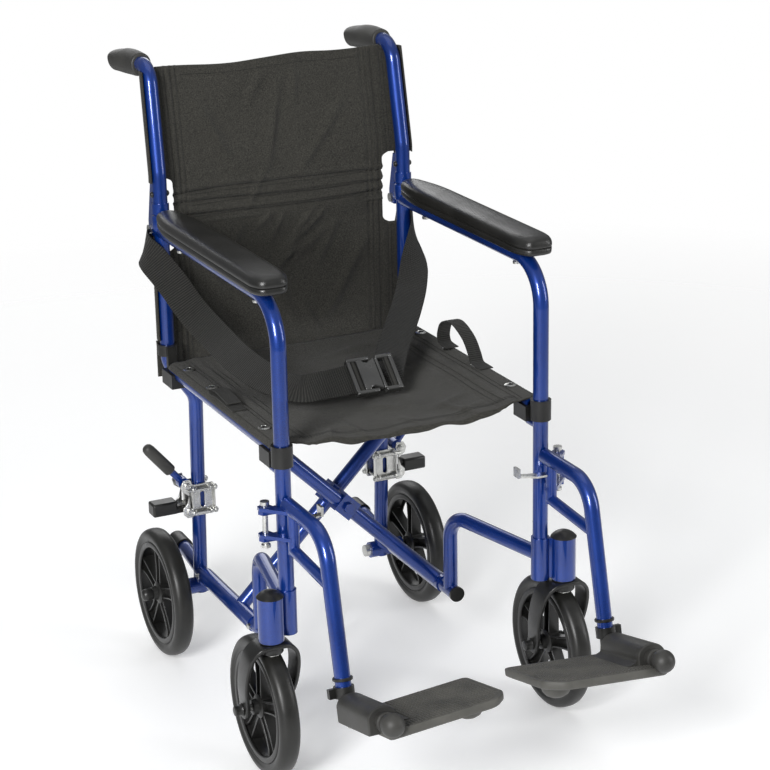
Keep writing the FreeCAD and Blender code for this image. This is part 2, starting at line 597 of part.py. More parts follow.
def hanger():
    """The swing-away tube in front of the post, hung on the pin through the two lugs."""
    start = point(half_width, size("hanger_start_y"), size("hanger_top"))
    path = bent_path("hanger_path", [start, leg_top, leg_end], size("hanger_bend"))
    outside = bar_along("hanger_outside", path, TUBE)
    inside = bar_along("hanger_inside", path, "tube_bore")
    hinge_y = size("hanger_hinge_y")
    hinge = rod("hanger_hinge", point(half_width, hinge_y, size("lower_lug") - 14),
                point(half_width, hinge_y, size("hanger_top")), "strut_radius")
    on_leg = shifted(leg_top, leg_way, (size("hanger_top") - size("strut_height") + 8)
                     / -leg_way.z)
    strut = rod("hanger_strut", point(half_width, hinge_y, size("strut_height")), on_leg,
                "strut_radius")
    arms = []
    pin = point(size("hanger_pivot_x"), front_y, 0)
    for label, lug in (("upper", "upper_lug"), ("lower", "lower_lug")):
        height = size(lug) + size("lug_thickness") + 0.4 + 2.5
        outline = [(-8, -36), (6, -38), (38, -4), (37, 5), (28, 9), (21, 5), (14, -12), (-8, -27)]
        arms.append(plate("hanger_arm_" + label, outline, "5", "XY_Plane",
                          Placement(point(half_width, front_y, height), Rotation())))
    holes = rod("hanger_pin_room", pin + Z * 340, pin + Z * 430, "pin_radius + running_gap")
    whole = fuse("hanger_whole", outside, hinge, strut, *arms)
    swing = part("hanger_left", cut("hanger", whole, inside, holes))

    band_at = shifted(leg_end, leg_way, -14)
    band = rod("band", band_at, shifted(band_at, leg_way, 15), "tube_radius + 3")
    band_lug = block("band_lug", shifted(band_at, leg_way, 7.5) + X * 17, "12", "8", "13",
                     footplate_turn)
    band_room = rod("band_room", shifted(band_at, leg_way, -5), shifted(band_at, leg_way, 25),
                    "tube_radius + weld_gap")
    clamp = part("hanger_clamp_left", cut("hanger_clamp", fuse("band_whole", band, band_lug),
                                          band_room))

    latch_at = point(half_width - 14, hinge_y + 4, 388)
    latch = plate("latch_plate", [(9, -6), (9, 5), (-4, 8), (-30, 16), (-34, 9), (-8, -6)], "3",
                  "XY_Plane", Placement(latch_at, Rotation()))
    tab = block("latch_tab", latch_at + point(-33, 12, 6), "4", "14", "14")
    latch_room = rod("latch_room", point(half_width, hinge_y, 300), point(half_width, hinge_y, 420),
                     "strut_radius + running_gap")
    lever = part("hanger_latch_left", cut("hanger_latch", fuse("latch_whole", latch, tab),
                                          latch_room))
    return [swing, clamp, lever]


def footplate():
    """The sliding footrest leg with its ball-ended rod, and the plate that flips up round it."""
    stem_top = shifted(leg_end, leg_way, -110)
    stem = rod("legrest_stem", stem_top, shifted(leg_end, leg_way, 12), "legrest_radius")
    knuckle = ball("legrest_knuckle", rod_corner, "legrest_radius + 1")
    rod_end = shifted(rod_corner, rod_way, size("footplate_rod_length"))
    bar = rod("footplate_rod", rod_corner, rod_end, "footplate_rod_radius")
    knob = ball("footplate_ball", shifted(rod_end, rod_way, 4), "ball_radius")
    legrest = part("legrest_left", fuse("legrest", stem, knuckle, bar, knob))

    barrel_start, length = 17.0, 104.0
    barrel = rod("plate_barrel", shifted(rod_corner, rod_way, barrel_start),
                 shifted(rod_corner, rod_way, barrel_start + length), "footplate_barrel_radius")
    room = rod("plate_barrel_room", rod_corner, rod_end, "footplate_rod_radius + running_gap")
    cant = Rotation(rod_way, size("footplate_cant") * -1)
    drop = cant.multVec(footplate_turn.multVec(Z)) * -13
    middle = shifted(rod_corner, rod_way, 14 + size("footplate_length") / 2)
    width, reach = size("footplate_width"), size("footplate_length") / 2
    outline = [(8, reach), (8, -reach + 6), (2, -reach), (-width + 10, -reach), (-width, -reach + 14),
               (-width, reach - 26), (-width + 22, reach)]
    board = plate("footplate_board", outline, "footplate_thickness", "XY_Plane",
                  Placement(middle + drop, cant.multiply(footplate_turn)), "3")
    ball_room = ball("plate_ball_room", shifted(rod_end, rod_way, 4), "ball_radius + 1.5")
    flip = part("footplate_left", cut("footplate", fuse("footplate_whole", barrel, board),
                                      room, ball_room))
    return [legrest, flip]


# ---- cross brace and soft goods -------------------------------------------------------------


def pivot_bolt():
    """The bolt through both pivot blocks, with its hexagon head in front."""
    start, end = size("cross_front_y") - 19, size("cross_rear_y") + 19
    shank = rod("pivot_shank", point(0, start, pivot_z), point(0, end, pivot_z),
                "pivot_bolt_radius")
    head = doc.addObject("Part::Prism", "pivot_head")
    head.Polygon, head.Height = 6, 6
    bind(head, Circumradius="pivot_bolt_radius + 4")
    head.Placement = Placement(point(0, start + 5.95, pivot_z), Rotation(Z, Y * -1))
    nut = rod("pivot_nut", point(0, end - 5.95, pivot_z), point(0, end, pivot_z),
              "pivot_bolt_radius + 3.5")
    return fuse("cross_pivot", shank, head, nut)


def brace(name, side, y_at, *fixed):
    """One brace tube: a sleeve round a lower rail, a pivot block, and the opposite seat rail."""
    low = point(side * lower_x, y_at, rail_z)
    way = Vector(-side * brace_way.x, 0, brace_way.z)
    high = point(-side * seat_x, y_at, seat_z)
    centre = point(0, y_at, pivot_z)
    toward = 1 if y_at < cross_mid_y else -1
    outside = rod(name + "_tube", low, high, TUBE)
    inside = rod(name + "_tube_bore", shifted(low, way, 20), shifted(high, way, -14), "tube_bore")
    sleeve = rod(name + "_sleeve", point(low.x, size("rail_sleeve_front_y"), rail_z),
                 point(low.x, size("rail_sleeve_rear_y"), rail_z), "rail_sleeve_radius")
    sleeve_room = rod(name + "_sleeve_room", point(low.x, 0, rail_z), point(low.x, 400, rail_z),
                      "tube_radius + running_gap")
    front, rear = size("seat_rail_front_y"), size("seat_rail_rear_y")
    rail = rod(name + "_rail", point(high.x, front, seat_z), point(high.x, rear, seat_z), TUBE)
    rail_room = rod(name + "_rail_bore", point(high.x, front - 1, seat_z),
                    point(high.x, rear + 1, seat_z), "tube_bore")
    clamp = block(name + "_block", centre, "pivot_block", "pivot_block - 6", "pivot_block - 2",
                  Rotation(X, way))
    boss = rod(name + "_boss", centre, point(0, cross_mid_y - toward * 0.4, pivot_z),
               "pivot_boss_radius")
    bolt_room = rod(name + "_bolt_room", point(0, y_at - 30, pivot_z),
                    point(0, y_at + 30, pivot_z), "pivot_bolt_radius + running_gap")
    whole = fuse(name + "_whole", outside, sleeve, rail, clamp, boss)
    welded = cut(name + "_cut", whole, inside, sleeve_room, rail_room, bolt_room)
    return part(name, group(name, welded, *fixed))


def slings():
    """Plain solids for the cloth: two seat halves, two back panels and the lap belt."""
    length = size("seat_rear_y") - size("seat_front_y")
    middle_y = (size("seat_rear_y") + size("seat_front_y")) / 2
    top, sag = seat_z + tube_radius + 1, size("seat_sag")
    cloth = size("cloth")
    outline = [(0.5, top - sag), (150, top), (seat_x + 9, top), (seat_x + 9, top + cloth),
               (150, top + cloth), (0.5, top - sag + cloth)]
    for name, side in (("seat_sling_left", 1), ("seat_sling_right", -1)):
        half = [(side * x, z) for x, z in outline]
        part(name, plate(name + "_body", half, "%g" % length, "XZ_Plane",
                         Placement(point(0, middle_y, 0), Rotation())))
    side, waist, edge = half_width - 4, half_width - 28, 764.0
    low, split, high = size("back_low"), size("back_split"), size("back_high")
    lean_foot = point(0, size("back_foot_y"), split)
    lean_top = point(0, size("back_top_y"), high)
    lean = Rotation(Z, lean_top - lean_foot)
    upper = [(-waist, 1), (waist, 1), (waist, edge - split), (side, edge - split + 4),
             (side, high - split), (-side, high - split), (-side, edge - split + 4),
             (-waist, edge - split)]
    part("back_sling_upper", plate("back_upper_body", upper, "cloth", "XZ_Plane",
                                   Placement(lean_foot, lean)))
    lower = [(-side, low), (side, low), (side, 652), (waist, 656), (waist, split - 1),
             (-waist, split - 1), (-waist, 656), (-side, 652)]
    part("back_sling_lower", plate("back_lower_body", lower, "cloth", "XZ_Plane",
                                   Placement(point(0, size("back_foot_y"), 0), Rotation())))


def strap_run(name, start, end, face):
    """A straight run of webbing, a little long so that it joins the next, facing one way."""
    ahead = end - start
    turn = Rotation(ahead, face.cross(ahead), face, "XZY")
    return block(name, (start + end) * 0.5, "%g" % (ahead.Length + 8), "belt_width", "belt_cloth",
                 turn)


def belt():
    """The lap belt: two straps down from the posts and a side-release buckle between them."""
    buckle_at = point(0, size("buckle_y"), seat_z + size("buckle_rise"))
    tilt = Rotation(X, size("buckle_tilt"))
    housing = block("buckle_housing", buckle_at, "44", "60", "15", tilt)
    slot = block("buckle_slot", buckle_at + X * 14, "34", "40", "8.2", tilt)
    part("buckle_body", cut("buckle_body_cut", housing, slot))
    prong = block("buckle_prong", buckle_at + X * 11, "26", "38", "7.6", tilt)
    head = block("buckle_head", buckle_at + X * 37, "28", "58", "13", tilt)
    part("buckle_tongue", fuse("buckle_tongue_whole", prong, head))
    lying, rising = tilt.multVec(Z), Vector(-0.4, -0.86, 0.31)
    level, foot = buckle_at.z, buckle_at.y
    ends = {"left": [point(79, 52, level), point(93, 110, level + 17), point(131, 170, level + 42),
                     point(179, 235, 588), point(207, 277, 624)],
            "right": [point(-29, foot, level), point(-100, 36, level), point(-140, 120, level + 11),
                      point(-157, 215, 545), point(-197, 281, 616)]}
    for side_name, stops in ends.items():
        name, runs = "belt_strap_" + side_name, []
        for index in range(len(stops) - 1):
            share = min(1.0, index / 2)
            face = lying * (1 - share) + rising * share
            runs.append(strap_run("%s_run_%d" % (name, index), stops[index], stops[index + 1], face))
        part(name, fuse(name + "_whole", *runs))


def assemble():
    """Makes every sub-part, the left side first and then its mirror image."""
    left = side_frame() + [plastics(), arm_pad(), hardware()] + brake() + cane()
    rear_at = point(size("rear_wheel_x"), size("rear_wheel_y"), wheel_radius)
    front_at = point(barrel_x, barrel_y + size("caster_trail"), wheel_radius)
    left += wheel("rear_left", rear_at) + wheel("front_left", front_at) + [fork()]
    left += hanger() + footplate()
    for thing in left:
        name = thing.Label.replace("_left", "_right")
        part(name, mirrored(thing.Name + "_mirrored", thing))
    brace("cross_front", 1, size("cross_front_y"))
    brace("cross_rear", -1, size("cross_rear_y"), pivot_bolt())
    slings()
    belt()


def check():
    """Stops on a failed object, or on a sub-part that is empty or not a valid solid."""
    doc.recompute()
    for thing in doc.Objects:
        if {"Invalid", "Error"} & set(thing.State):
            raise RuntimeError("%s failed: %s" % (thing.Label, thing.State))
    for thing in PARTS:
        shape = thing.Shape
        if shape.isNull() or not shape.isValid() or not shape.Solids:
            raise RuntimeError("%s has no valid solid" % thing.Label)


def export():
    os.makedirs("parts", exist_ok=True)
    for thing in PARTS:
        thing.Shape.exportStep("parts/%s.step" % thing.Label)
    whole = Part.makeCompound([thing.Shape for thing in PARTS]).BoundBox
    print("%d sub-parts, box %s" % (len(PARTS), whole))


assemble()
check()
export()
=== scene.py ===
"""The looks of a folding transport wheelchair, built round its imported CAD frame."""

import json
import math

import bmesh
import bpy
from mathutils import Matrix, Vector, noise


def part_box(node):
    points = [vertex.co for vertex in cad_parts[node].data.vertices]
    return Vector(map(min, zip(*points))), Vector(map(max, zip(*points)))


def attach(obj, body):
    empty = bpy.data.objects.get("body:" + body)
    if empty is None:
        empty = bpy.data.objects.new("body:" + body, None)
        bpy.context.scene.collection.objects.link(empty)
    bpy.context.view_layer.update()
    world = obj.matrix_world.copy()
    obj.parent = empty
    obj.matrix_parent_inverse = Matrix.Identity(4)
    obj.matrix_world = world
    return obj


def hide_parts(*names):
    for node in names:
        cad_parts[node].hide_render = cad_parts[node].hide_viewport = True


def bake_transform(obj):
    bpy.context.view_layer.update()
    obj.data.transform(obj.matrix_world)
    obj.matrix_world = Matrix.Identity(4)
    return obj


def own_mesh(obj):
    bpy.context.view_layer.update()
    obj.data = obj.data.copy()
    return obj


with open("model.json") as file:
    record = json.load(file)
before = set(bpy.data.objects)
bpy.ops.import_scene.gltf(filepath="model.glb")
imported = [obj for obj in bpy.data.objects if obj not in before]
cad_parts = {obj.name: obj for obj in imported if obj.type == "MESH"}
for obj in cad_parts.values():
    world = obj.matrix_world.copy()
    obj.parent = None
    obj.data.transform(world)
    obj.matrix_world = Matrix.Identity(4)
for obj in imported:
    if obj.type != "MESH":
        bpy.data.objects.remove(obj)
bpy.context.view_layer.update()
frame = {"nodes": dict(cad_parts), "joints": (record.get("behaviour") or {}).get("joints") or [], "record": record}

SIDES = (("left", 1), ("right", -1))
X, Y, Z = Vector((1, 0, 0)), Vector((0, 1, 0)), Vector((0, 0, 1))
JOINTS = {joint["name"]: joint for joint in frame["joints"]}
SQUARE = ((-1, -1), (1, -1), (1, 1), (-1, 1))

# Lengths in millimetres, on the sitter's left.
POST_X = 158.0  # the rear post and the lower rail
CANE_X = 200.0  # the cane and the armrest tube
CANE_BACK = 323.6  # the rear of the upright part of the cane
CANE_BEND = 776  # the cane leans back above this height
NOTCH_TOP, NOTCH_LOW = 764.0, 652.0  # the cloth is cut away by the hinge between these heights
BACK_TOP = 925.0
BACK_SEAMS = (702, 720, 737)
WAIST = 172.0  # half the back cloth's width at the hinge
RAIL = Vector((198.0, 0.0, 478.0))  # a point of the seat rail's centre line
RAIL_CLOTH = 13.6  # the seat cloth's radius round the rail
CLOTH_THICK = 1.9
YARN, RIB = 0.0012, 0.0034  # the weave's and the webbing's pitches, in metres
BUCKLE_TILT = 42.0


def at(joint):
    """Where a joint turns at rest, in millimetres, as on the sitter's left."""
    x, y, z = Vector(JOINTS[joint]["pos_m"]) * 1000
    return Vector((abs(x), y, z))


def cad(node):
    """The lowest and highest corner of a CAD node, in millimetres, as on the sitter's left."""
    low, high = (corner * 1000 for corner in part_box(node))
    if "right" in node:
        low.x, high.x = -high.x, -low.x
    return low, high


HINGE = at("back_fold_right")
BACK_LOW = cad("back_sling_lower")[0].z


def span(low, high, count):
    """Evenly spaced values from low to high, in count steps."""
    return [low + (high - low) * n / count for n in range(count + 1)]


# ---- materials ----


class Paint:
    """A Principled material whose nodes are added by name."""

    def __init__(self, name):
        self.material = bpy.data.materials.new(name)
        self.material.use_nodes = True
        self.tree = self.material.node_tree
        self.shader = self.tree.nodes["Principled BSDF"]
        self.place = self.node("ShaderNodeTexCoord").outputs["Object"]

    def node(self, kind, **settings):
        made = self.tree.nodes.new(kind)
        for name, value in settings.items():
            if hasattr(made, name):
                setattr(made, name, value)
            else:
                self.put(made.inputs[name.replace("_", " ")], value)
        return made

    def put(self, socket, value):
        if isinstance(value, bpy.types.NodeSocket):
            self.tree.links.new(value, socket)
        else:
            socket.default_value = value

    def maths(self, operation, *values):
        made = self.tree.nodes.new("ShaderNodeMath")
        made.operation = operation
        for socket, value in zip(made.inputs, values):
            self.put(socket, value)
        return made.outputs[0]

    def wave(self, value, pitch):
        return self.maths("SINE", self.maths("MULTIPLY", value, 2 * math.pi / pitch))

    def noise(self, scale, detail=3.0, rough=0.55, place=None):
        made = self.node("ShaderNodeTexNoise", Scale=scale, Detail=detail, Roughness=rough,
                         Vector=place or self.place)
        return made.outputs["Fac"]

    def between(self, factor, low, high, start=0.3, end=0.7):
        """A number or a colour that runs from low to high as the factor rises."""
        if isinstance(low, tuple):
            made = self.node("ShaderNodeValToRGB")
            first, last = made.color_ramp.elements
            first.position, first.color = start, (*low, 1)
            last.position, last.color = end, (*high, 1)
            self.put(made.inputs[0], factor)
            return made.outputs[0]
        made = self.node("ShaderNodeMapRange", clamp=True)
        for socket, value in zip(made.inputs, (factor, start, end, low, high)):
            self.put(socket, value)
        return made.outputs[0]

    def over(self, factor, below, above):
        made = self.node("ShaderNodeMix", data_type="RGBA")
        self.put(made.inputs[0], factor)
        self.put(made.inputs[6], below)
        self.put(made.inputs[7], above)
        return made.outputs[2]

    def bumps(self, *heights):
        """Each height is (socket, depth in metres); they add up."""
        normal = None
        for height, depth in heights:
            made = self.node("ShaderNodeBump", Height=height, Distance=depth, Strength=1.0)
            if normal:
                self.put(made.inputs["Normal"], normal)
            normal = made.outputs[0]
        self.put(self.shader.inputs["Normal"], normal)

    def set(self, **values):
        for name, value in values.items():
            self.put(self.shader.inputs[name.replace("_", " ")], value)
        return self.material


def blue_paint():
    paint = Paint("blue_paint")
    flake = paint.noise(2600, 1)
    cloud = paint.noise(9, 4)
    base = paint.between(cloud, (0.0, 0.014, 0.125), (0.0, 0.027, 0.215))
    colour = paint.over(paint.between(flake, 0.0, 0.4, 0.5, 0.68), base, (0.0, 0.12, 0.68, 1))
    scuff = paint.between(paint.noise(130, 8, 0.7), 0.0, 1.0, 0.735, 0.76)
    colour = paint.over(scuff, colour, (0.10, 0.15, 0.38, 1))
    paint.bumps((paint.noise(210, 2), 0.00006), (flake, 0.00001))
    return paint.set(Base_Color=colour, Metallic=0.5, Coat_Weight=0.85, Coat_Roughness=0.05,
                     Roughness=paint.between(cloud, 0.3, 0.42), Coat_IOR=1.5)


def moulded(name, dark, light, low, high, grain=1400, depth=0.00005, coat=0.0):
    """Satin black mouldings and rubbers: fine grain, cloudy sheen, pale rubbed flecks."""
    paint = Paint(name)
    cloud, fine = paint.noise(26, 5), paint.noise(grain, 3)
    colour = paint.between(cloud, dark, light)
    fleck = paint.between(paint.noise(260, 9, 0.72), 0.0, 0.5, 0.68, 0.76)
    colour = paint.over(fleck, colour, (*(3 * part + 0.02 for part in light), 1))
    paint.bumps((fine, depth), (cloud, 0.0002))
    return paint.set(Base_Color=colour, Roughness=paint.between(cloud, low, high),
                     Coat_Weight=coat, Coat_Roughness=0.2, Specular_IOR_Level=0.45)


def arm_pad_skin():
    paint = Paint("arm_pad_skin")
    cells = paint.node("ShaderNodeTexVoronoi", feature="DISTANCE_TO_EDGE", Scale=620,
                       Vector=paint.place).outputs["Distance"]
    cloud = paint.noise(14, 5)
    colour = paint.between(cloud, (0.007, 0.007, 0.0066), (0.016, 0.0155, 0.014))
    paint.bumps((paint.between(cells, 0.0, 1.0, 0.0, 0.25), 0.00006), (cloud, 0.0006))
    return paint.set(Base_Color=colour, Roughness=paint.between(cloud, 0.27, 0.4),
                     Specular_IOR_Level=0.6)


def sling_fabric():
    """Coated plain weave in two yarns, with painted shade in its low cells, lint, faded patches and soft rubbing.
    """
    paint = Paint("sling_fabric")
    parts = paint.node("ShaderNodeSeparateXYZ", Vector=paint.place)
    warp = paint.wave(parts.outputs[0], YARN)
    weft = paint.wave(paint.maths("ADD", parts.outputs[1], parts.outputs[2]), YARN)
    weave = paint.between(paint.maths("MULTIPLY", warp, weft), 0.0, 1.0, -1.0, 1.0)
    speck, fade = paint.noise(560, 5, 0.75), paint.noise(7, 6, 0.6)
    colour = paint.between(speck, (0.008, 0.0078, 0.0066), (0.066, 0.063, 0.053), 0.36, 0.68)
    # painted shade: the weave's low cells are painted darker, as shade between the yarns
    colour = paint.over(paint.between(weave, 0.2, 0.0, 0.2, 0.7), colour, (0.012, 0.012, 0.010, 1))
    colour = paint.over(paint.between(fade, 0.0, 0.25, 0.4, 0.75), colour, (0.058, 0.056, 0.049, 1))
    paint.bumps((weave, 0.00022), (speck, 0.0004), (paint.noise(34, 5), 0.0016))
    return paint.set(Base_Color=colour, Roughness=paint.between(fade, 0.74, 0.9),
                     Sheen_Weight=0.09, Sheen_Roughness=0.5, Specular_IOR_Level=0.2)


def belt_webbing():
    """Ribbed webbing with painted shade in the grooves between the ribs. The ribs run across the strap, so they
    follow its own map.
    """
    paint = Paint("belt_webbing")
    along = paint.node("ShaderNodeUVMap", uv_map="strap")
    parts = paint.node("ShaderNodeSeparateXYZ", Vector=along.outputs[0])
    rib = paint.between(paint.wave(parts.outputs[0], RIB), 0.0, 1.0, -1.0, 1.0)
    yarn = paint.wave(parts.outputs[1], YARN)
    speck = paint.noise(1300, 3)
    colour = paint.between(speck, (0.009, 0.0088, 0.0078), (0.036, 0.035, 0.030))
    # painted shade: the grooves between the ribs are painted near black
    colour = paint.over(paint.between(rib, 0.9, 0.0, 0.1, 0.65), colour, (0.003, 0.003, 0.0027, 1))
    paint.bumps((rib, 0.0011), (paint.between(yarn, 0.0, 1.0, -1.0, 1.0), 0.00012),
                (paint.noise(60, 3), 0.0006))
    return paint.set(Base_Color=colour, Roughness=0.72, Sheen_Weight=0.05,
                     Specular_IOR_Level=0.35)


def bright_steel():
    paint = Paint("bright_steel")
    cloud, streak = paint.noise(40, 6), paint.noise(700, 4)
    colour = paint.between(cloud, (0.46, 0.46, 0.44), (0.72, 0.72, 0.70))
    spot = paint.between(paint.noise(190, 7, 0.7), 0.0, 0.8, 0.66, 0.74)
    colour = paint.over(spot, colour, (0.30, 0.285, 0.24, 1))
    paint.bumps((streak, 0.00004), (cloud, 0.0002))
    return paint.set(Base_Color=colour, Metallic=1.0,
                     Roughness=paint.between(streak, 0.2, 0.42))


BLUE, STEEL, PAD = blue_paint(), bright_steel(), arm_pad_skin()
FABRIC, WEBBING = sling_fabric(), belt_webbing()
PLASTIC = moulded("black_plastic", (0.006, 0.006, 0.0057), (0.014, 0.0138, 0.013), 0.26, 0.42)
RUBBER = moulded("tyre_rubber", (0.006, 0.0059, 0.0052), (0.014, 0.0137, 0.012), 0.32, 0.48, 900,
                 0.0001)
GRIP = moulded("grip_rubber", (0.022, 0.0215, 0.020), (0.042, 0.041, 0.037), 0.42, 0.58, 1100,
               0.00012)
TREAD = moulded("footplate_plastic", (0.05, 0.049, 0.044), (0.092, 0.089, 0.079), 0.5, 0.68,
                1000, 0.00014)
BUCKLE = moulded("buckle_plastic", (0.03, 0.03, 0.029), (0.05, 0.05, 0.048), 0.2, 0.3, 1800,
                 0.00003, 1.0)
THREAD = moulded("seam_thread", (0.004, 0.004, 0.0038), (0.012, 0.012, 0.011), 0.6, 0.8, 2200,
                 0.00005)
SLOTS = {BLUE: "blue_paint", STEEL: "bright_steel", PAD: "arm_pad_skin", FABRIC: "sling_fabric",
         WEBBING: "belt_webbing", PLASTIC: "black_plastic", RUBBER: "tyre_rubber",
         GRIP: "grip_rubber", TREAD: "black_plastic", BUCKLE: "buckle_plastic",
         THREAD: "sling_fabric"}

# ---- shapes ----


class Shape:
    """Points in millimetres and the faces between them, for the sitter's left or the middle."""

    def __init__(self):
        self.points, self.faces, self.marks = [], [], []

    def add(self, points, faces, marks=None):
        base = len(self.points)
        self.points += [Vector(point) for point in points]
        self.faces += [tuple(base + index for index in face) for face in faces]
        self.marks += marks or [(0.0, 0.0)] * len(points)
        return self

    def rings(self, rings, closed=False, caps=True, marks=None):
        """Skins a row of rings that all have the same number of points."""
        count, total = len(rings[0]), len(rings)
        faces = []
        for row in range(total if closed else total - 1):
            for n in range(count):
                after = (row + 1) % total
                faces.append((row * count + n, row * count + (n + 1) % count,
                              after * count + (n + 1) % count, after * count + n))
        if caps and not closed:
            faces.append(tuple(reversed(range(count))))
            faces.append(tuple(range((total - 1) * count, total * count)))
        return self.add([point for ring in rings for point in ring], faces, marks)

    def sheet(self, rows, marks=None):
        """An open grid of points, row by row."""
        count = len(rows[0])
        faces = [(row * count + n, row * count + n + 1, (row + 1) * count + n + 1,
                  (row + 1) * count + n)
                 for row in range(len(rows) - 1) for n in range(count - 1)]
        return self.add([point for row in rows for point in row], faces, marks)

    def lathe(self, profile, centre, axis, count=40, closed=False):
        """Turns (distance along the axis, radius) points round the axis."""
        turn = axis.normalized().to_track_quat("Z", "X")
        rings = [[centre + turn @ Vector((radius * math.cos(angle), radius * math.sin(angle),
                                          along))
                  for angle in (2 * math.pi * n / count for n in range(count))]
                 for along, radius in profile]
        return self.rings(rings, closed)

    def box(self, centre, size):
        half = Vector(size) / 2
        points = [centre + Vector((a * half.x, b * half.y, c * half.z))
                  for a in (-1, 1) for b in (-1, 1) for c in (-1, 1)]
        return self.add(points, [(0, 1, 3, 2), (4, 6, 7, 5), (0, 4, 5, 1), (2, 3, 7, 6),
                                 (0, 2, 6, 4), (1, 5, 7, 3)])

    def build(self, name, material, body=None, side=1, bevel=0.0, sharp=40, thick=0.0):
        mesh = bpy.data.meshes.new(name)
        faces = self.faces if side > 0 else [tuple(reversed(face)) for face in self.faces]
        mesh.from_pydata([(side * p.x / 1000, p.y / 1000, p.z / 1000) for p in self.points], [],
                         faces)
        mesh.update(calc_edges=True)
        if any(mark != (0.0, 0.0) for mark in self.marks):
            strap = mesh.uv_layers.new(name="strap")
            for loop in mesh.loops:
                strap.data[loop.index].uv = self.marks[loop.vertex_index]
        if not thick:
            solid = bmesh.new()
            solid.from_mesh(mesh)
            bmesh.ops.recalc_face_normals(solid, faces=solid.faces)
            solid.to_mesh(mesh)
            solid.free()
        mesh.materials.append(material)
        mesh.shade_smooth()
        mesh.set_sharp_from_angle(angle=math.radians(sharp))
        piece = bpy.data.objects.new(name, mesh)
        bpy.context.scene.collection.objects.link(piece)
        if thick:
            layer = piece.modifiers.new("thickness", "SOLIDIFY")
            layer.thickness, layer.offset = thick / 1000, -1.0
        if bevel:
            edge = piece.modifiers.new("edges", "BEVEL")
            edge.width, edge.segments, edge.limit_method = bevel / 1000, 2, "ANGLE"
            edge.angle_limit = math.radians(35)
        if body:
            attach(piece, body)
        return piece

    def fit(self, name, material, body, side, **how):
        """Builds a piece of one side. The S in the names stands for left or right."""
        name, body = (text.replace("_S", "_" + side) for text in (name, body))
        return self.build(name, material, body, dict(SIDES)[side], **how)


def curve(points, steps=6):
    """A smooth line through the points."""
    points = [Vector(point) for point in points]
    line = []
    for n in range(len(points) - 1):
        before, start = points[max(n - 1, 0)], points[n]
        end, after = points[n + 1], points[min(n + 2, len(points) - 1)]
        for k in range(steps):
            t = k / steps
            line.append(0.5 * ((2 * start) + (end - before) * t
                               + (2 * before - 5 * start + 4 * end - after) * t * t
                               + (3 * start - before - 3 * end + after) * t ** 3))
    return line + [points[-1]]


def heading(path, n):
    """The way that a path runs at its point n."""
    return (path[min(n + 1, len(path) - 1)] - path[max(n - 1, 0)]).normalized()


def circle(radius, count):
    return [(radius * math.cos(2 * math.pi * n / count), radius * math.sin(2 * math.pi * n / count))
            for n in range(count)]


def rounded(width, height, corner, steps=4):
    """A rounded rectangle as (sideways, upward) points."""
    points = []
    for quarter, (a, b) in enumerate(((1, 1), (-1, 1), (-1, -1), (1, -1))):
        for k in range(steps + 1):
            angle = math.pi / 2 * (quarter + k / steps)
            points.append((a * (width / 2 - corner) + corner * math.cos(angle),
                           b * (height / 2 - corner) + corner * math.sin(angle)))
    return points


def stitches(line, out, pitch=4.4, length=3.1, radius=0.55):
    """A row of thread stitches along a line, standing on the cloth."""
    shape, left = Shape(), 0.0
    for start, end in zip(line, line[1:]):
        run = (end - start).length
        if run < 1e-6:
            continue
        ahead = (end - start) / run
        side = ahead.cross(out).normalized()
        while left < run:
            middle = start + ahead * left + out * 0.1
            ring = [[middle + ahead * (length * (k - 0.5)) + side * u * s + out * v * s
                     for u, v in circle(radius, 4)] for k, s in ((0, 0.4), (0.5, 1.0), (1, 0.4))]
            shape.rings(ring)
            left += pitch
        left -= run
    return shape


def tilted(shape, centre, degrees):
    """The shape turned about a line along X through the centre, its rear edge rising."""
    turn = Matrix.Rotation(math.radians(degrees), 3, "X")
    shape.points = [centre + turn @ (point - centre) for point in shape.points]
    return shape


def joined(*shapes):
    whole = Shape()
    for shape in shapes:
        whole.add(shape.points, shape.faces, shape.marks)
    return whole


def mirrored(half):
    """A lathe profile from one half of it."""
    return half + [(-along, radius) for along, radius in reversed(half)]


def ripple(x, y, z, scale, depth):
    """Smooth noise in millimetres, the same on each run."""
    return depth * noise.noise(Vector((x * scale, y * scale, z * scale)))


# ---- the CAD nodes that show ----

by_slot = {row["node"]: row["material_slot"] for row in frame["record"]["subparts"]}
for node_name, node_object in frame["nodes"].items():
    finish = next(material for material, slot in SLOTS.items() if slot == by_slot[node_name])
    node_object.data.materials.clear()
    node_object.data.materials.append(finish)


# ---- wheels ----


def tyre(name, side):
    low, high = cad(f"{name}_tyre")
    centre, radius, half = (low + high) / 2, (high.z - low.z) / 2, (high.x - low.x) / 2
    outer = [(half - 3.2, radius - 20), (half - 1.6, radius - 17.5), (half - 1.5, radius - 15.8),
             (half - 0.7, radius - 15), (half, radius - 12), (half - 0.1, radius - 9.5),
             (half - 1.2, radius - 6.2), (half - 3.6, radius - 3), (half - 6.6, radius - 1.2),
             (half - 10, radius - 0.35), (half - 13, radius - 0.05)]
    whole = Shape().lathe(mirrored(outer), centre, X, 96, closed=True)
    piece = whole.build(f"{name}_tyre_rubber", RUBBER, wheel_body(name), side, sharp=50)
    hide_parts(f"{name}_tyre")
    return centre, radius


def wheel_body(name):
    front_or_rear, side = name.split("_")
    return f"{front_or_rear}_wheel_{side}"


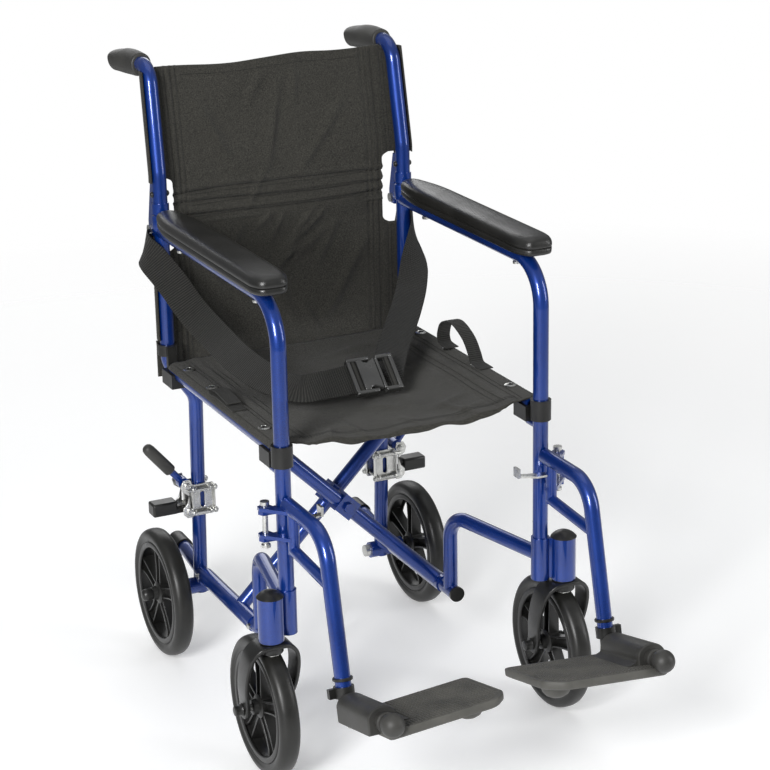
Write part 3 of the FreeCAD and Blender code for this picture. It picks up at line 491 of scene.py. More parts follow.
def wheel(name, side):
    """A five-spoke moulding: channelled rim, twin-walled spokes with a web, stepped hub."""
    centre, radius = tyre(name, side)
    rim = radius - 20.05
    shape = Shape().lathe([(-12.5, rim), (12.5, rim), (13.6, rim - 2), (13.4, rim - 8),
                           (11.8, rim - 9.4), (10, rim - 8.4), (8.5, rim - 5), (-8.5, rim - 5),
                           (-10, rim - 8.4), (-11.8, rim - 9.4), (-13.4, rim - 8),
                           (-13.6, rim - 2)], centre, X, 90, closed=True)
    for n in range(5):
        turn = Matrix.Rotation(math.radians(90 + 72 * n), 3, "X")
        for edge in (-1, 1):
            wall = []
            for run, wide, deep in ((14, 7.5, 17), (24, 7.2, 17), (44, 7.6, 16), (62, 9.0, 17),
                                    (rim - 7, 11.5, 20)):
                ring = [(a * deep / 2, run, edge * wide + b * 1.5) for a, b in SQUARE]
                wall.append([centre + turn @ Vector(point) for point in ring])
            shape.rings(wall)
        web = [[centre + turn @ Vector((a * 1.4 + 1.5, run, b * wide)) for a, b in SQUARE]
               for run, wide in ((14, 7), (44, 7.4), (62, 8.6), (rim - 6, 11))]
        shape.rings(web)
    moulding = shape.build(f"{name}_spider", PLASTIC, wheel_body(name), side, bevel=0.7)
    hub = Shape().lathe(mirrored([(-20, 5.4), (-20, 9), (-19, 10.4), (-12.5, 11.5),
                                  (-11, 15.5), (-9.5, 17.5)]), centre, X, 40, closed=True)
    hub.build(f"{name}_hub", PLASTIC, wheel_body(name), side)
    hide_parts(f"{name}_wheel")
    return centre


def hub_cap(name, centre):
    """The long black cap outside a rear wheel's hub."""
    cap = Shape().lathe([(20.4, 4), (20.4, 9.5), (22, 10.2), (30, 9.8), (34, 8.6), (36, 6),
                         (36.6, 2), (36.7, 0.1)], centre, X, 28)
    cap.fit("rear_hub_cap_S", PLASTIC, "frame_S", name)


def fork(name):
    """A strap fork bent over the wheel, with round ends at the axle."""
    swivel, axle = at(f"caster_swivel_{name}"), at(f"front_wheel_spin_{name}")
    x, y, trail = swivel.x, swivel.y, axle.y - swivel.y
    half = [(0, 0, 211.5), (14, 0.5, 210.8), (24, 2, 206.5), (32.5, 4.5, 196), (36.8, 8.5, 180),
            (38, 14, 160), (36.8, 20, 140), (33.4, 27, 121), (31, 32, 108), (30.6, trail - 0.5, 97)]
    points = [(-a, b, c) for a, b, c in reversed(half)] + half[1:]
    path = curve([(x + a, y + b, c) for a, b, c in points], 5)
    shape, rings, last = Shape(), [], len(path) - 1
    for n, point in enumerate(path):
        ahead = heading(path, n)
        wide_way = (Y - ahead * Y.dot(ahead)).normalized()
        out = ahead.cross(wide_way)
        near_end = min(n, last - n) / last
        wide = 26 + 15 * min(1.0, 2.2 * near_end) ** 1.5
        rings.append([point + wide_way * u + out * v for u, v in rounded(wide, 6.2, 2.0, 3)])
    shape.rings(rings)
    for way in (-1, 1):
        eye = Vector((x + way * 27.4, axle.y, axle.z))
        shape.lathe([(0, 4), (0, 12.8), (0.8, 13.6), (5.6, 13.6), (6.4, 12.8), (6.4, 4)], eye,
                    X * way, 36)
    shape.lathe([(198.5, 6), (198.5, 15.5), (200, 16.5), (212, 16.5), (215.4, 15.5), (215.4, 6)],
                Vector((x, y, 0)), Z, 36)
    strap = shape.fit("fork_strap_S", PLASTIC, "caster_S", name, sharp=35)
    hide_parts(f"fork_{name}")
    ends = Shape()
    for way in (-1, 1):
        ends.lathe([(33.8, 3), (33.8, 8.4), (35, 9), (38.5, 7.2), (44.5, 7.6), (45.6, 6.6),
                    (46, 4), (46.1, 0.1)], Vector((x, axle.y, axle.z)), X * way, 28)
    ends.fit("fork_axle_caps_S", PLASTIC, "caster_S", name)
    nut = Shape().lathe([(186, 0.1), (186, 7), (187, 8.3), (194, 8.3), (195, 7), (195.5, 12),
                         (197.5, 12), (197.5, 0.1)], Vector((x, y, 0)), Z, 6)
    nut.lathe([(197.6, 7.8), (222, 7.8)], Vector((x, y, 0)), Z, 24)
    nut.fit("fork_stem_nut_S", STEEL, "caster_S", name)
    pin = Shape().lathe([(-34, 4.6), (34, 4.6)], Vector((x, axle.y, axle.z)), X, 20)
    pin.fit("fork_axle_pin_S", STEEL, "caster_S", name)


# ---- arm pads and grips ----


def rounded_outline(corners, steps=5):
    """A closed line in the flat through (x, y, corner radius) corners."""
    line = []
    for n, (x, y, radius) in enumerate(corners):
        here = Vector((x, y, 0))
        back = Vector((*corners[n - 1][:2], 0)) - here
        on = Vector((*corners[(n + 1) % len(corners)][:2], 0)) - here
        back *= min(radius / back.length, 0.45)
        on *= min(radius / on.length, 0.45)
        for k in range(steps + 1):
            t = k / steps
            line.append(here + back * (1 - t) ** 2 + on * t ** 2)
    return line


def pad_outline(half, front, rear):
    """The pad from above: clipped front corners and a narrower rounded rear."""
    return rounded_outline([(half, front + 18, 12), (half - 9, front, 9), (-half + 11, front, 9),
                            (-half, front + 24, 14), (-half, rear - 62, 40),
                            (-half + 13, rear, 11), (half - 13, rear, 11), (half, rear - 62, 40)])


def arm_pad(name):
    """A moulded base with a parting line and a crowned, softly worn top."""
    low, high = cad(f"arm_pad_{name}")
    middle = (low.x + high.x) / 2
    half, tall = (high.x - low.x) / 2, high.z - low.z
    rings = []
    for level, inset in ((0.0, 5.0), (0.015, 3.0), (0.05, 1.2), (0.12, 0.5), (0.34, 0.2),
                         (0.365, 0.9), (0.385, 1.7), (0.41, 0.6), (0.46, 0.1), (0.58, 0.0),
                         (0.72, 0.7), (0.83, 2.4), (0.91, 5.0), (0.96, 8.6), (0.985, 13.0)):
        line = pad_outline(half - inset, low.y + inset, high.y - inset)
        rings.append([Vector((middle + p.x, p.y, low.z + level * tall)) for p in line])
    centre_y = (low.y + high.y) / 2
    inner = [[Vector((middle + (p.x - middle) * s, centre_y + (p.y - centre_y) * (0.9 + 0.1 * s),
                      low.z + tall * level)) for p in rings[-1]]
             for s, level in ((0.8, 0.991), (0.62, 0.996), (0.45, 0.999), (0.3, 1.0))]
    shape = Shape().rings(rings + inner)
    pad = shape.fit("arm_pad_S_moulding", PAD, "frame_S", name, sharp=60)
    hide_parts(f"arm_pad_{name}")
    screws = Shape()
    for y in (low.y + 70, high.y - 60):
        screws.lathe([(-3, 0.1), (-3, 5), (0, 5.4), (0.6, 5.4)],
                     Vector((middle, y, low.z - 23.6)), Z, 14)
    screws.fit("arm_pad_screws_S", STEEL, "frame_S", name)


def hand_grip(name):
    """A moulded hand grip: fat palm on top, finger waves with slits below, domed end."""
    low, high = cad(f"grip_{name}")
    mount = next(m for m in frame["record"]["mounts"] if m["name"] == f"push_grip_{name}")
    way = Vector(mount["axis"])
    way.x = abs(way.x)
    length, centre = mount["dims"]["length_mm"], Vector(mount["pos_m"]) * 1000
    centre.x = (low.x + high.x) / 2
    start, up = centre - way * length / 2, X.cross(way).normalized()
    rings, count = [], 40
    first, pitch, slit_width = 20, 12, 4.4
    stations = [(-2.5, 12.6), (-2.4, 14.2), (-1.2, 15.4), (0.5, 16)]
    stations += [(3 + 1.7 * k, 16) for k in range(int((length - 9) / 1.7))]
    stations += [(length - 2.2, 16), (length - 0.8, 15.4), (length - 0.1, 14), (length, 11),
                 (length, 0.5)]
    for run, radius in stations:
        ring, share = [], min(max(run / length, 0.0), 1.0)
        palm = (2.6 * math.sin(math.pi * min(share * 1.5, 1.0))
                - 5.5 * max(0.0, share - 0.5) ** 2 / 0.25)
        slit = first < run < length - 6 and (run - first) % pitch < slit_width
        sole = min(radius * 1.3, 17.6 + 2.6 * share - (6.5 if slit else 0.0))
        for n in range(count):
            angle = 2 * math.pi * n / count
            u, v = math.cos(angle) * radius, math.sin(angle) * radius
            v = v + palm * math.sin(angle) if v > 0 else max(v * 1.32, -sole)
            ring.append(start + way * run + X * u + up * v)
        rings.append(ring)
    grip = Shape().rings(rings)
    grip = grip.fit("hand_grip_S", GRIP, "back_S", name, sharp=50)
    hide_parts(f"grip_{name}")


# ---- footrests ----


def plate_hinge(name):
    """Where a footplate's rod leaves its leg tube, and the ways along the rod and the leg."""
    joint = f"footplate_flip_{name}"
    along = Vector(JOINTS[joint]["axis"])
    if along.y > 0:
        along = -along
    along.x = 0
    along.normalize()
    down = Vector((0, along.z, -along.y))
    return at(joint), along, -down if down.z > 0 else down


def footrest(name):
    """The tread plate with its boxed barrel, and the ball-ended rod that it turns round."""
    corner, along, down = plate_hinge(name)
    up = along.cross(X) * -1
    if up.z < 0:
        up = -up

    def place(x, run, rise):
        return corner + X * x + along * run + up * rise

    cant, top = math.tan(math.radians(4)), -7.0
    mid_x, mid_run = -83, 82
    shape = Shape()
    outline = [(p.x, p.y) for p in rounded_outline(
        [(6, 14, 6), (-172, 14, 9), (-172, 126, 9), (-150, 150, 9), (6, 150, 6)])]
    rings = []
    for rise, inset in ((-12, 2.5), (-10.5, 0.6), (-9, 0), (-2.2, 0), (-0.6, 0.7), (0, 2.2),
                        (-0.1, 4.2), (-1.1, 4.8)):
        rings.append([place(mid_x + (x - mid_x) * (1 - inset / 85),
                            mid_run + (run - mid_run) * (1 - inset / 66),
                            top + rise - x * cant) for x, run in outline])
    shape.rings(rings)
    for row in range(26):
        for column in range(32):
            x, run = -12 - 4.85 * column, 21.5 + 4.75 * row
            if x < -164 + max(0, run - 118) * 0.75 or (x < -158 and run < 30):
                continue
            if x > -38 and 14 < run < 124:
                continue
            base = [place(x + a * 1.9, run + b * 1.85, top - 1.1 - x * cant) for a, b in SQUARE]
            peak = [place(x + a * 1.35, run + b * 1.3, top + 0.25 - x * cant)
                    for a, b in SQUARE]
            shape.add(base + peak, [(0, 1, 5, 4), (1, 2, 6, 5), (2, 3, 7, 6), (3, 0, 4, 7),
                                    (4, 5, 6, 7)])
    section = [(-21, -16), (21, -16), (21.5, -14), (21.5, 4)]
    section += [(21.5 * math.cos(a), 4 + 16 * math.sin(a))
                for a in (math.pi * k / 14 for k in range(1, 14))]
    section += [(-21.5, 4), (-21.5, -14)]
    housing = [[place(u * shrink, run, v * shrink) for u, v in section]
               for run, shrink in ((17, 0.90), (18, 0.97), (20, 1.0), (117, 1.0), (119.5, 0.98),
                                   (121, 0.93))]
    shape.lathe([(-16, 0.1), (-15.5, 8), (-12, 15), (-6, 19.5), (0, 21)],
                place(-134, 92, top - 7), up, 24)
    plate = shape.fit("footplate_S_tread", TREAD, "footplate_S", name, sharp=30)
    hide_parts(f"footplate_{name}")
    shape = Shape().rings(housing)
    fillet = [[place(x, run, top + rise - x * cant) for x, rise in
               ((-20, -2), (-20, 9), (-24, 3.2), (-31, 0.4), (-38, -0.4), (-38, -2))]
              for run in (20, 117)]
    shape.rings(fillet)
    shape.fit("footplate_S_housing", GRIP, "footplate_S", name, sharp=30)

    rest, rod_length, radius = Shape(), 145.0, 16.0
    leg_top = cad(f"legrest_{name}")[1].z
    rest.lathe([(-(leg_top - corner.z) / -down.z + 2, 9.4), (0, 9.4), (6, 10.4), (9, 8)],
               corner, down, 28)
    rest.lathe([(0, 7.9), (rod_length - 14, 7.9)], corner, along, 28)
    rest.fit("legrest_stem_S", PLASTIC, "legrest_S", name)
    ball = [(rod_length - 25, 8), (rod_length - 24, 13.4), (rod_length - 15, 13.6),
            (rod_length - 14, 11.4), (rod_length - 11.6, 10.8)]
    for k in range(1, 13):
        angle = math.radians(138 - 138 * k / 12)
        ball.append((rod_length + 4 + radius * math.cos(angle),
                     max(0.1, radius * math.sin(angle))))
    knob = Shape().lathe(ball, corner, along, 36)
    knob = knob.fit("legrest_ball_S", GRIP, "legrest_S", name)
    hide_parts(f"legrest_{name}")
    bolt = Shape().lathe([(0, 5), (0, 6.8), (5, 6.8), (6, 5), (9, 4), (9.5, 0.1)],
                         place(6, 24, -16.5), up * -1, 6)
    bolt.fit("footplate_bolt_S", STEEL, "footplate_S", name)


def clamp_bands(name):
    """Two narrow bands round the leg tube by the hanger's clamp."""
    corner, _, way = plate_hinge(name)
    end, band = corner - way * 12, Shape()
    for run in (-3.5, -26):
        band.lathe([(run, 11.2), (run, 13.2), (run + 0.8, 13.9), (run + 3.4, 13.9),
                    (run + 4.2, 13.2), (run + 4.2, 11.2)], end, way, 36, closed=True)
    band.fit("hanger_bands_S", PLASTIC, "hanger_S", name)


# ---- brakes and small fittings ----


def brake_trim(name):
    """The rubber sleeve on a wheel lock's lever, and its shoe."""
    lever, far = at(f"wheel_lock_{name}"), Vector((62, 0, 74)).normalized()
    profile = [(29, 5.6), (29, 8.2), (30, 9.2), (34, 9.5), (60, 9.5), (80, 9.3), (86, 8.2),
               (89, 5.8), (90, 2.5), (90.1, 0.1)]
    grip = Shape().lathe(profile, lever, far, 28)
    grip = grip.fit("brake_grip_S_sleeve", GRIP, "brake_lever_S", name)
    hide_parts(f"brake_grip_{name}")
    low, high = cad(f"brake_shoe_{name}")
    pivot, shape = at(f"brake_shoe_{name}"), Shape()
    shape.box(Vector(((high.x + pivot.x + 15) / 2, (low.y + high.y) / 2, pivot.z + 4)),
              (high.x - pivot.x - 15, high.y - low.y - 8, 21))
    shape.box(Vector(((low.x + pivot.x + 30) / 2, pivot.y, pivot.z - 0.5)),
              (pivot.x + 30 - low.x, 12, 12))
    shoe = shape.fit("brake_shoe_S_plate", PLASTIC, "brake_shoe_S", name, bevel=3.0)
    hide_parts(f"brake_shoe_{name}")


def brake_bracket(name):
    """The zinc clamp on the rear post: slotted plates, bolts, and ears for the two pivots."""
    lever, shoe = at(f"wheel_lock_{name}"), at(f"brake_shoe_{name}")
    y = shoe.y = lever.y
    clamp, ears, bolts = Shape(), Shape(), Shape()
    ring, slot = rounded(38, 52, 3), rounded(7, 26, 3.4)
    for way in (-1, 1):
        face = Vector((POST_X - 1, y + way * 14.6, 255))
        clamp.rings([[face + X * u + Z * v + Y * way * depth for u, v in edge]
                     for edge, depth in ((ring, -1.4), (slot, -1.4), (slot, 1.4), (ring, 1.4))],
                    closed=True)
        for lip in (-1, 1):
            clamp.box(face + X * lip * 18.2 + Y * way * 3.4, (2.0, 8.5, 46))
        outline = [(POST_X + 17, 229), (POST_X + 26, 229), (shoe.x + 10, shoe.z - 5),
                   (shoe.x + 11, shoe.z + 5), (shoe.x + 4, shoe.z + 12),
                   (lever.x - 3, lever.z - 17),
                   (lever.x + 8, lever.z - 9), (lever.x + 11, lever.z), (lever.x + 6, lever.z + 9),
                   (lever.x - 6, lever.z + 9), (POST_X + 17, 284), (POST_X + 21, 272),
                   (POST_X + 21, 244)]
        ears.rings([[Vector((a, y + way * run, b)) for a, b in outline] for run in (17.6, 20.0)])
        for spot in (lever, shoe):
            end = spot + Y * way * 20
            ears.lathe([(0, 0.1), (0, 5.6), (1.6, 5.6), (2.8, 4.4), (3.4, 0.1)], end, Y * way, 18)
    for z in (236, 274):
        for y_side in (-1, 1):
            rod = Vector((POST_X, y + y_side * 20.5, z))
            bolts.lathe([(-25, 0.1), (-24, 2.6), (25, 2.6), (26, 0.1)], rod, X, 10)
            bolts.lathe([(-22.5, 2.6), (-22.5, 5), (-19.4, 5), (-19.4, 2.6)], rod, X, 6)
        for x in (POST_X - 14.4, POST_X + 14.4):
            bolts.lathe([(-17, 0.1), (-17, 4.6), (-12, 4.6), (-12, 2.4), (12, 2.4), (12, 4.6)],
                        Vector((x, y, z)), Y, 12)
            head = Vector((x, y - 16, z))
            bolts.lathe([(0, 0.1), (0, 5.4), (4, 5.4), (4.4, 4.6)], head, -Y, 6)
            bolts.lathe([(4.0, 4.4), (5.4, 4.2), (7.4, 2.8), (8.2, 0.1)], head, -Y, 16)
            bolts.lathe([(0, 0.1), (0, 4.8), (3, 4.8), (3.4, 0.1)], head + Y * 32, Y, 6)
    plates = clamp.fit("brake_clamp_S", STEEL, "frame_S", name, bevel=0.8)
    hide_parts(f"brake_bracket_{name}")
    ears.fit("brake_ears_S", STEEL, "frame_S", name, bevel=0.6)
    bolts.fit("brake_bolts_S", STEEL, "frame_S", name, bevel=0.3)
    block = Shape().box(Vector((POST_X + 15, y, 255)), (6, 22, 30))
    block.fit("brake_spacer_S", PLASTIC, "frame_S", name, bevel=1.0)


def screw_head(shape, centre, way, radius=4.2, tall=2.2):
    """A domed screw head with a small dimple for its recess."""
    shape.lathe([(0, radius), (0.35 * tall, radius), (0.75 * tall, 0.78 * radius),
                 (tall, 0.4 * radius), (tall * 0.8, 0.3 * radius), (tall * 0.55, 0.1)],
                centre, way, 18)


def hinge_trim(name):
    """The casting at the back hinge with its rivets, and the screws through the cane."""
    x, y = CANE_X, HINGE.y - 24
    collar = Shape().lathe([(689, 11.2), (689, 13.0), (690.5, 13.8), (711, 13.8), (713, 13.2),
                            (715, 11.2)], Vector((x, y, 0)), Z, 40, closed=True)
    collar.box(Vector((x, y + 13, 700)), (13, 14, 22))
    collar.fit("hinge_collar_S", BLUE, "frame_S", name, bevel=1.2)
    rivets, screws = Shape(), Shape()
    for way, height in ((Vector((-0.35, -1, 0)), 706), (Vector((0.5, -1, 0)), 699)):
        way.normalize()
        screw_head(rivets, Vector((x, y, height)) + way * 13.4, way, 3.2)
    rivets.fit("hinge_rivets_S", STEEL, "frame_S", name)
    for way in (-1, 1):
        screw_head(screws, Vector((x + way * 10.6, y + 1, 746)), X * way, 4.6, 4.4)
    screws.fit("cane_screws_S", PLASTIC, "back_S", name)


def small_trim(name):
    """Bolts on the lower rail, and the button on the front post."""
    bits = Shape()
    for y in (96, 306):
        bits.lathe([(0, 0.1), (0, 5), (3.4, 5), (4.4, 3.4), (4.6, 0.1)],
                   Vector((POST_X + 10.6, y, at("fold").z)), X, 6)
    bits.lathe([(0, 0.1), (0, 4.5), (5, 4.5), (7, 3), (7.4, 0.1)],
               Vector((CANE_X, -119.5, 300)), Y, 10)
    bits.fit("frame_screws_S", STEEL, "frame_S", name)


# ---- seat ----

HEM_FRONT, HEM_REAR = cad("seat_sling_left")[0].y, cad("seat_sling_left")[1].y
SEAT_CREASES = (((150, -70), (60, -98), 2.6, 6), ((112, -112), (84, -38), 3.0, 6),
                ((-62, -112), (-78, -46), 3.2, 7), ((22, -112), (8, -58), 2.6, 6),
                ((-122, -112), (-98, -66), 2.8, 6), ((-150, 40), (-50, 84), 3.0, 8),
                ((150, 130), (50, 96), 3.0, 8), ((140, -20), (50, -62), 3.2, 8),
                ((-140, 210), (-40, 262), 3.4, 8), ((130, 262), (20, 232), 3.4, 8),
                ((-30, 10), (40, -30), 2.4, 9))


def seat_point(a, y, lift=0.0):
    """A point of the seat's top face. a runs across the cloth, round both seat rails."""
    way, m = math.copysign(1.0, a), abs(a)
    hold = min(1.0, m / RAIL.x)
    if m > RAIL.x:
        turn = (m - RAIL.x) / RAIL_CLOTH
        x, z = RAIL.x + RAIL_CLOTH * math.sin(turn), RAIL.z + RAIL_CLOTH * math.cos(turn)
        return Vector((way * (x + lift * math.sin(turn)), y, z + lift * math.cos(turn)))
    free = 1 - hold ** 4
    z = RAIL.z + RAIL_CLOTH - 15.5 * (1 - hold ** 2.3)
    to_front = max(0.0, 1 - (y - HEM_FRONT) / 70)
    to_rear = max(0.0, 1 - (HEM_REAR - y) / 60)
    z += free * (3.4 * to_front ** 2 * math.sin(a * 0.047 + 0.9)
                 + 1.6 * to_front ** 2 * math.sin(a * 0.11 + 2.0))
    z += free * 7.0 * to_rear ** 2
    z += free * ripple(a, y, 3, 0.013, 2.8) + free * ripple(a + 60, y * 0.35, 9, 0.03, 1.3)
    z += free * sum(ridge(a, y, *crease) for crease in SEAT_CREASES)
    z += 1.1 * math.exp(-((m - 164) / 5) ** 2) - 0.9 * math.exp(-((m - 153) / 2.2) ** 2)
    z -= 0.9 * math.exp(-((m - 142) / 2.2) ** 2)
    return Vector((a, y, z + lift))


def blend_seat(piece):
    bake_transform(piece)


def seat_cloth():
    """One cloth over both seat rails: side hems, a heavy front hem that turns down, a sag."""
    front, rear = HEM_FRONT, HEM_REAR
    reach = RAIL.x + RAIL_CLOTH * 1.2
    rows, across = [], span(-reach, reach, 118)
    for n in range(9):
        angle = math.radians(118 - 118 * n / 8)
        row = []
        for a in across:
            free = 1 - min(1.0, abs(a) / 186) ** 6
            edge = seat_point(a, front + 3)
            drop = (5.2 + 1.6 * math.sin(a * 0.06 + 1)) * free
            row.append(Vector((edge.x, edge.y - 3 - drop * math.sin(angle) * 0.9 - free,
                               edge.z - drop * (1 - math.cos(angle)) * 0.95)))
        rows.append(row)
    for n, y in enumerate(span(front + 4, rear, 69)):
        rows.append([seat_point(a, y + 13 * (n / 69) ** 6 * (1 - min(1, abs(a) / 182) ** 8))
                     for a in across])
    cloth = Shape().sheet(rows).build("seat_cloth", FABRIC, thick=CLOTH_THICK, sharp=80)
    blend_seat(cloth)
    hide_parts("seat_sling_left", "seat_sling_right")
    for name, side in SIDES:
        body = "cross_rear" if side > 0 else "cross_front"
        outer = [stitches([seat_point(a, y, 0.2) for y in span(front + 8, rear - 6, 60)], Z)
                 for a in (204, 183, 176)]
        joined(*outer).build(f"seat_stitching_{name}", THREAD, body, side)
        inner = [stitches([seat_point(a, y, 0.15) for y in span(front + 14, rear - 6, 60)], Z)
                 for a in (158, 148)]
        blend_seat(joined(*inner).build(f"seat_seams_{name}", THREAD, None, side))
        seat_fixings(name, side, body)
    for y in (front + 16, front + 20.5):
        line = [seat_point(a, y, 0.15) for a in range(-180, 181, 6)]
        blend_seat(stitches(line, Z).build("seat_front_stitches_%d" % (y - front), THREAD))


def seat_fixings(name, side, body):
    """Cup washers and screws down a seat rail, and the webbing loop for pulling it shut."""
    cups, heads = Shape(), Shape()
    for y in (-52.0, 52.0, 146.0, 240.0):
        spot = seat_point(193.0, y)
        cups.lathe([(0.2, 8.6), (0.9, 8.8), (1.9, 6.6), (2.0, 5.2), (0.9, 4.6), (0.4, 0.1)], spot,
                   Z, 26)
        screw_head(heads, spot + Z * 0.9, Z, 4.2, 1.9)
    cups.build(f"seat_washers_{name}", STEEL, body, side)
    heads.build(f"seat_screws_{name}", PLASTIC, body, side)
    top = RAIL.z + RAIL_CLOTH
    if side > 0:
        line = [(197, 28, top + 1.6), (197, 44, top + 1.8), (197, 58, top + 3), (198, 68, top + 13),
                (199, 88, top + 31), (198, 116, top + 45), (197, 138, top + 47),
                (196, 158, top + 38), (196, 168, top + 18), (196, 164, top + 5),
                (196, 152, top + 2.4), (196, 138, top + 1.9)]
    else:
        line = [(197, 28, top + 1.6), (197, 50, top + 1.8), (198, 66, top + 4), (200, 86, top + 6),
                (201, 104, top + 4.6), (199, 116, top + 6.4), (197, 104, top + 8.6),
                (197, 84, top + 8.8), (197, 66, top + 6.8), (197, 48, top + 4.4)]
    ribbon(f"pull_strap_{name}", line, lambda share, ahead: X, 22, body, side)


def ribbon(name, line, across_way, wide, body, side, steps=7, thick=1.5):
    """A webbing strap along a line. across_way(share of the run, ahead) runs across it."""
    path = curve(line, steps)
    half, run = wide / 2, 0.0
    rows, marks = [], []
    for n, point in enumerate(path):
        if n:
            run += (point - path[n - 1]).length
        ahead = heading(path, n)
        across = across_way(n / (len(path) - 1), ahead).normalized()
        crown = across.cross(ahead)
        for k in (-1, -0.9, -0.3, 0.3, 0.9, 1):
            rows.append(point + across * half * k - crown * 0.3 * abs(k) ** 6)
            marks.append((run / 1000 + 0.0001, half * k / 1000 + 0.1))
    grid = [rows[i:i + 6] for i in range(0, len(rows), 6)]
    strap = Shape().sheet(grid, marks).build(name, WEBBING, body, side, thick=thick, sharp=80)
    return strap


# ---- back ----


def cane_back(z):
    """How far back the rear of the cane stands at a height."""
    return CANE_BACK + max(0.0, z - CANE_BEND) * 28 / 156


def back_width(z):
    """Half the centre panel's width at a height: it narrows at the notches by the hinges."""
    into_notch = min(NOTCH_TOP - z, z - NOTCH_LOW) / 12
    if into_notch <= 0:
        return WAIST + 11
    return WAIST + 11 * max(0.0, 1 - into_notch) ** 3


def back_y(x, z, upper):
    """The front face of the back cloth."""
    flat = cane_back(z) + 1.2
    free = 1 - min(1.0, abs(x) / 184) ** 4
    y = flat + free * (5.5 if upper else 7.5)
    near_hinge = math.exp(-((z - 690) / 26) ** 2)
    y = y * (1 - near_hinge) + (HINGE.y - 8.0) * near_hinge
    y += free * (ripple(x, z, 5, 0.012, 5.5) + ripple(x * 0.8, z * 0.6, 2, 0.03, 2.6))
    y += free * (1 - near_hinge) * 2.0 * math.sin(x * 0.028 + z * 0.04)
    y -= sum(ridge(x, z, *crease) for crease in CREASES)
    pucker = ripple(x, z * 0.2, 8, 0.06, 1.0) + 0.9
    for seam in BACK_SEAMS:
        line = z - seam - 3.0 * math.sin(x * 0.012 + seam)
        y += 3.8 * math.exp(-(line / 1.7) ** 2) - 2.3 * pucker * math.exp(-((line - 7) / 4) ** 2)
    for seam in (150, 158, 168):
        y += 2.6 * math.exp(-((abs(x) - seam) / 2.0) ** 2)
    return y


def ridge(x, z, start, end, height, width):
    """A soft crease in the cloth between two points, fading towards its ends."""
    run = Vector((end[0] - start[0], end[1] - start[1]))
    spot = Vector((x - start[0], z - start[1]))
    along = spot.dot(run) / run.length_squared
    if not 0 < along < 1:
        return 0.0
    off = (spot - run * along).length
    return height * math.sin(math.pi * along) * math.exp(-(off / width) ** 2)


CREASES = (((-20, 770), (-60, 690), 5.5, 6), ((15, 905), (-25, 745), 9.0, 8),
           ((60, 690), (-40, 560), 7.5, 8), ((95, 668), (10, 600), 6.0, 7),
           ((-140, 700), (-95, 560), 6.0, 9), ((150, 640), (60, 500), 7.5, 9),
           ((-150, 600), (-60, 470), 7.5, 10), ((-60, 680), (-110, 610), 6.0, 7),
           ((120, 860), (30, 745), 8.0, 8), ((-130, 880), (-70, 760), 7.0, 9),
           ((20, 560), (70, 470), 6.0, 8), ((-30, 640), (30, 480), 5.5, 8),
           ((8, 697), (-20, 636), 4.5, 4.5), ((-12, 696), (-44, 662), 4.0, 4.5),
           ((54, 694), (20, 650), 4.5, 4.5), ((76, 692), (30, 640), 4.5, 5),
           ((58, 640), (-22, 606), 6.5, 5), ((98, 672), (58, 590), 6.0, 7),
           ((40, 915), (30, 840), 5.0, 6), ((-10, 915), (-45, 850), 5.0, 7))


def back_panel(upper):
    """The back cloth above or below the hinge. It rides on the right side."""
    if upper:
        heights = span(HINGE.z, 766, 60) + span(766, BACK_TOP, 44)[1:]
    else:
        heights = span(BACK_LOW, 650, 44) + span(650, HINGE.z, 20)[1:]
    rows = []
    for z in heights:
        half = back_width(z)
        rows.append([Vector((x, back_y(x, z, upper), z + edge_wave(x, z, upper)))
                     for x in span(-half, half, 174)])
    if upper:
        rim = rows[-1]
        for k in range(1, 6):
            angle = math.radians(36 * k)
            rows.append([p + Y * 1.9 * (1 - math.cos(angle)) + Z * 2.2 * math.sin(angle)
                         for p in rim])
        rows.append([p + Y * 3.8 - Z * 16 for p in rim])
    else:
        for k in range(1, 13):
            angle = math.radians(180 - 13.5 * k)
            rows.append([Vector((x, HINGE.y + 9.4 * math.cos(angle),
                                 HINGE.z + 9.4 * math.sin(angle)))
                         for x in span(-WAIST, WAIST, 174)])
    part, body = ("upper", "back_right") if upper else ("lower", "frame_right")
    cloth = Shape().sheet(rows)
    cloth = cloth.build(f"back_cloth_{part}", FABRIC, body, thick=CLOTH_THICK, sharp=80)
    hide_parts(f"back_sling_{part}")
    squash_back(cloth)


def edge_wave(x, z, upper):
    """The free top edge dips and rises a little between the canes."""
    share = max(0.0, (z - 880) / 45) if upper else 0.0
    free = 1 - min(1.0, abs(x) / 184) ** 2
    return share * (3.2 * math.sin(x * 0.024 + 0.6) * free - 4.5 * free)


def squash_back(piece):
    """Gives the cloth its own copy of its mesh."""
    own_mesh(piece)


def back_sleeve(part, body, low, high, name, side):
    """The cloth's sleeve round one tube, and the two rows of stitches beside it."""
    rows = []
    for z in span(low, high, 34):
        rear = cane_back(z)
        shift = 3.0 * max(0.0, z - CANE_BEND) / 156
        row = [Vector((176.0, rear + 4.4, z)), Vector((181.0, rear + 1.4, z)),
               Vector((187.0 - shift, rear + 0.6, z))]
        for k in range(10):
            if part == "upper" or z > 520:
                angle = math.radians(104 - 14 * k)
                row.append(Vector((CANE_X - shift + 13.6 * math.cos(angle),
                                   310 + rear - CANE_BACK + 13.8 * math.sin(angle), z)))
            else:
                row.append(Vector((190.0 + 2.4 * k,
                                   rear + 2.2 - 0.1 * k + ripple(z, k, 1, 0.03, 1.0), z)))
        rows.append(row)
    sleeve = Shape().sheet(rows).build(f"back_sleeve_{part}_{name}", FABRIC, body, side,
                                       thick=CLOTH_THICK, sharp=80)
    hems = [stitches([Vector((x, cane_back(z) - 0.5, z))
                      for z in span(low + 4, high - 4, 30)], -Y) for x in (178.5, 184.0)]
    joined(*hems).build(f"back_hem_stitches_{part}_{name}", THREAD, body, side)


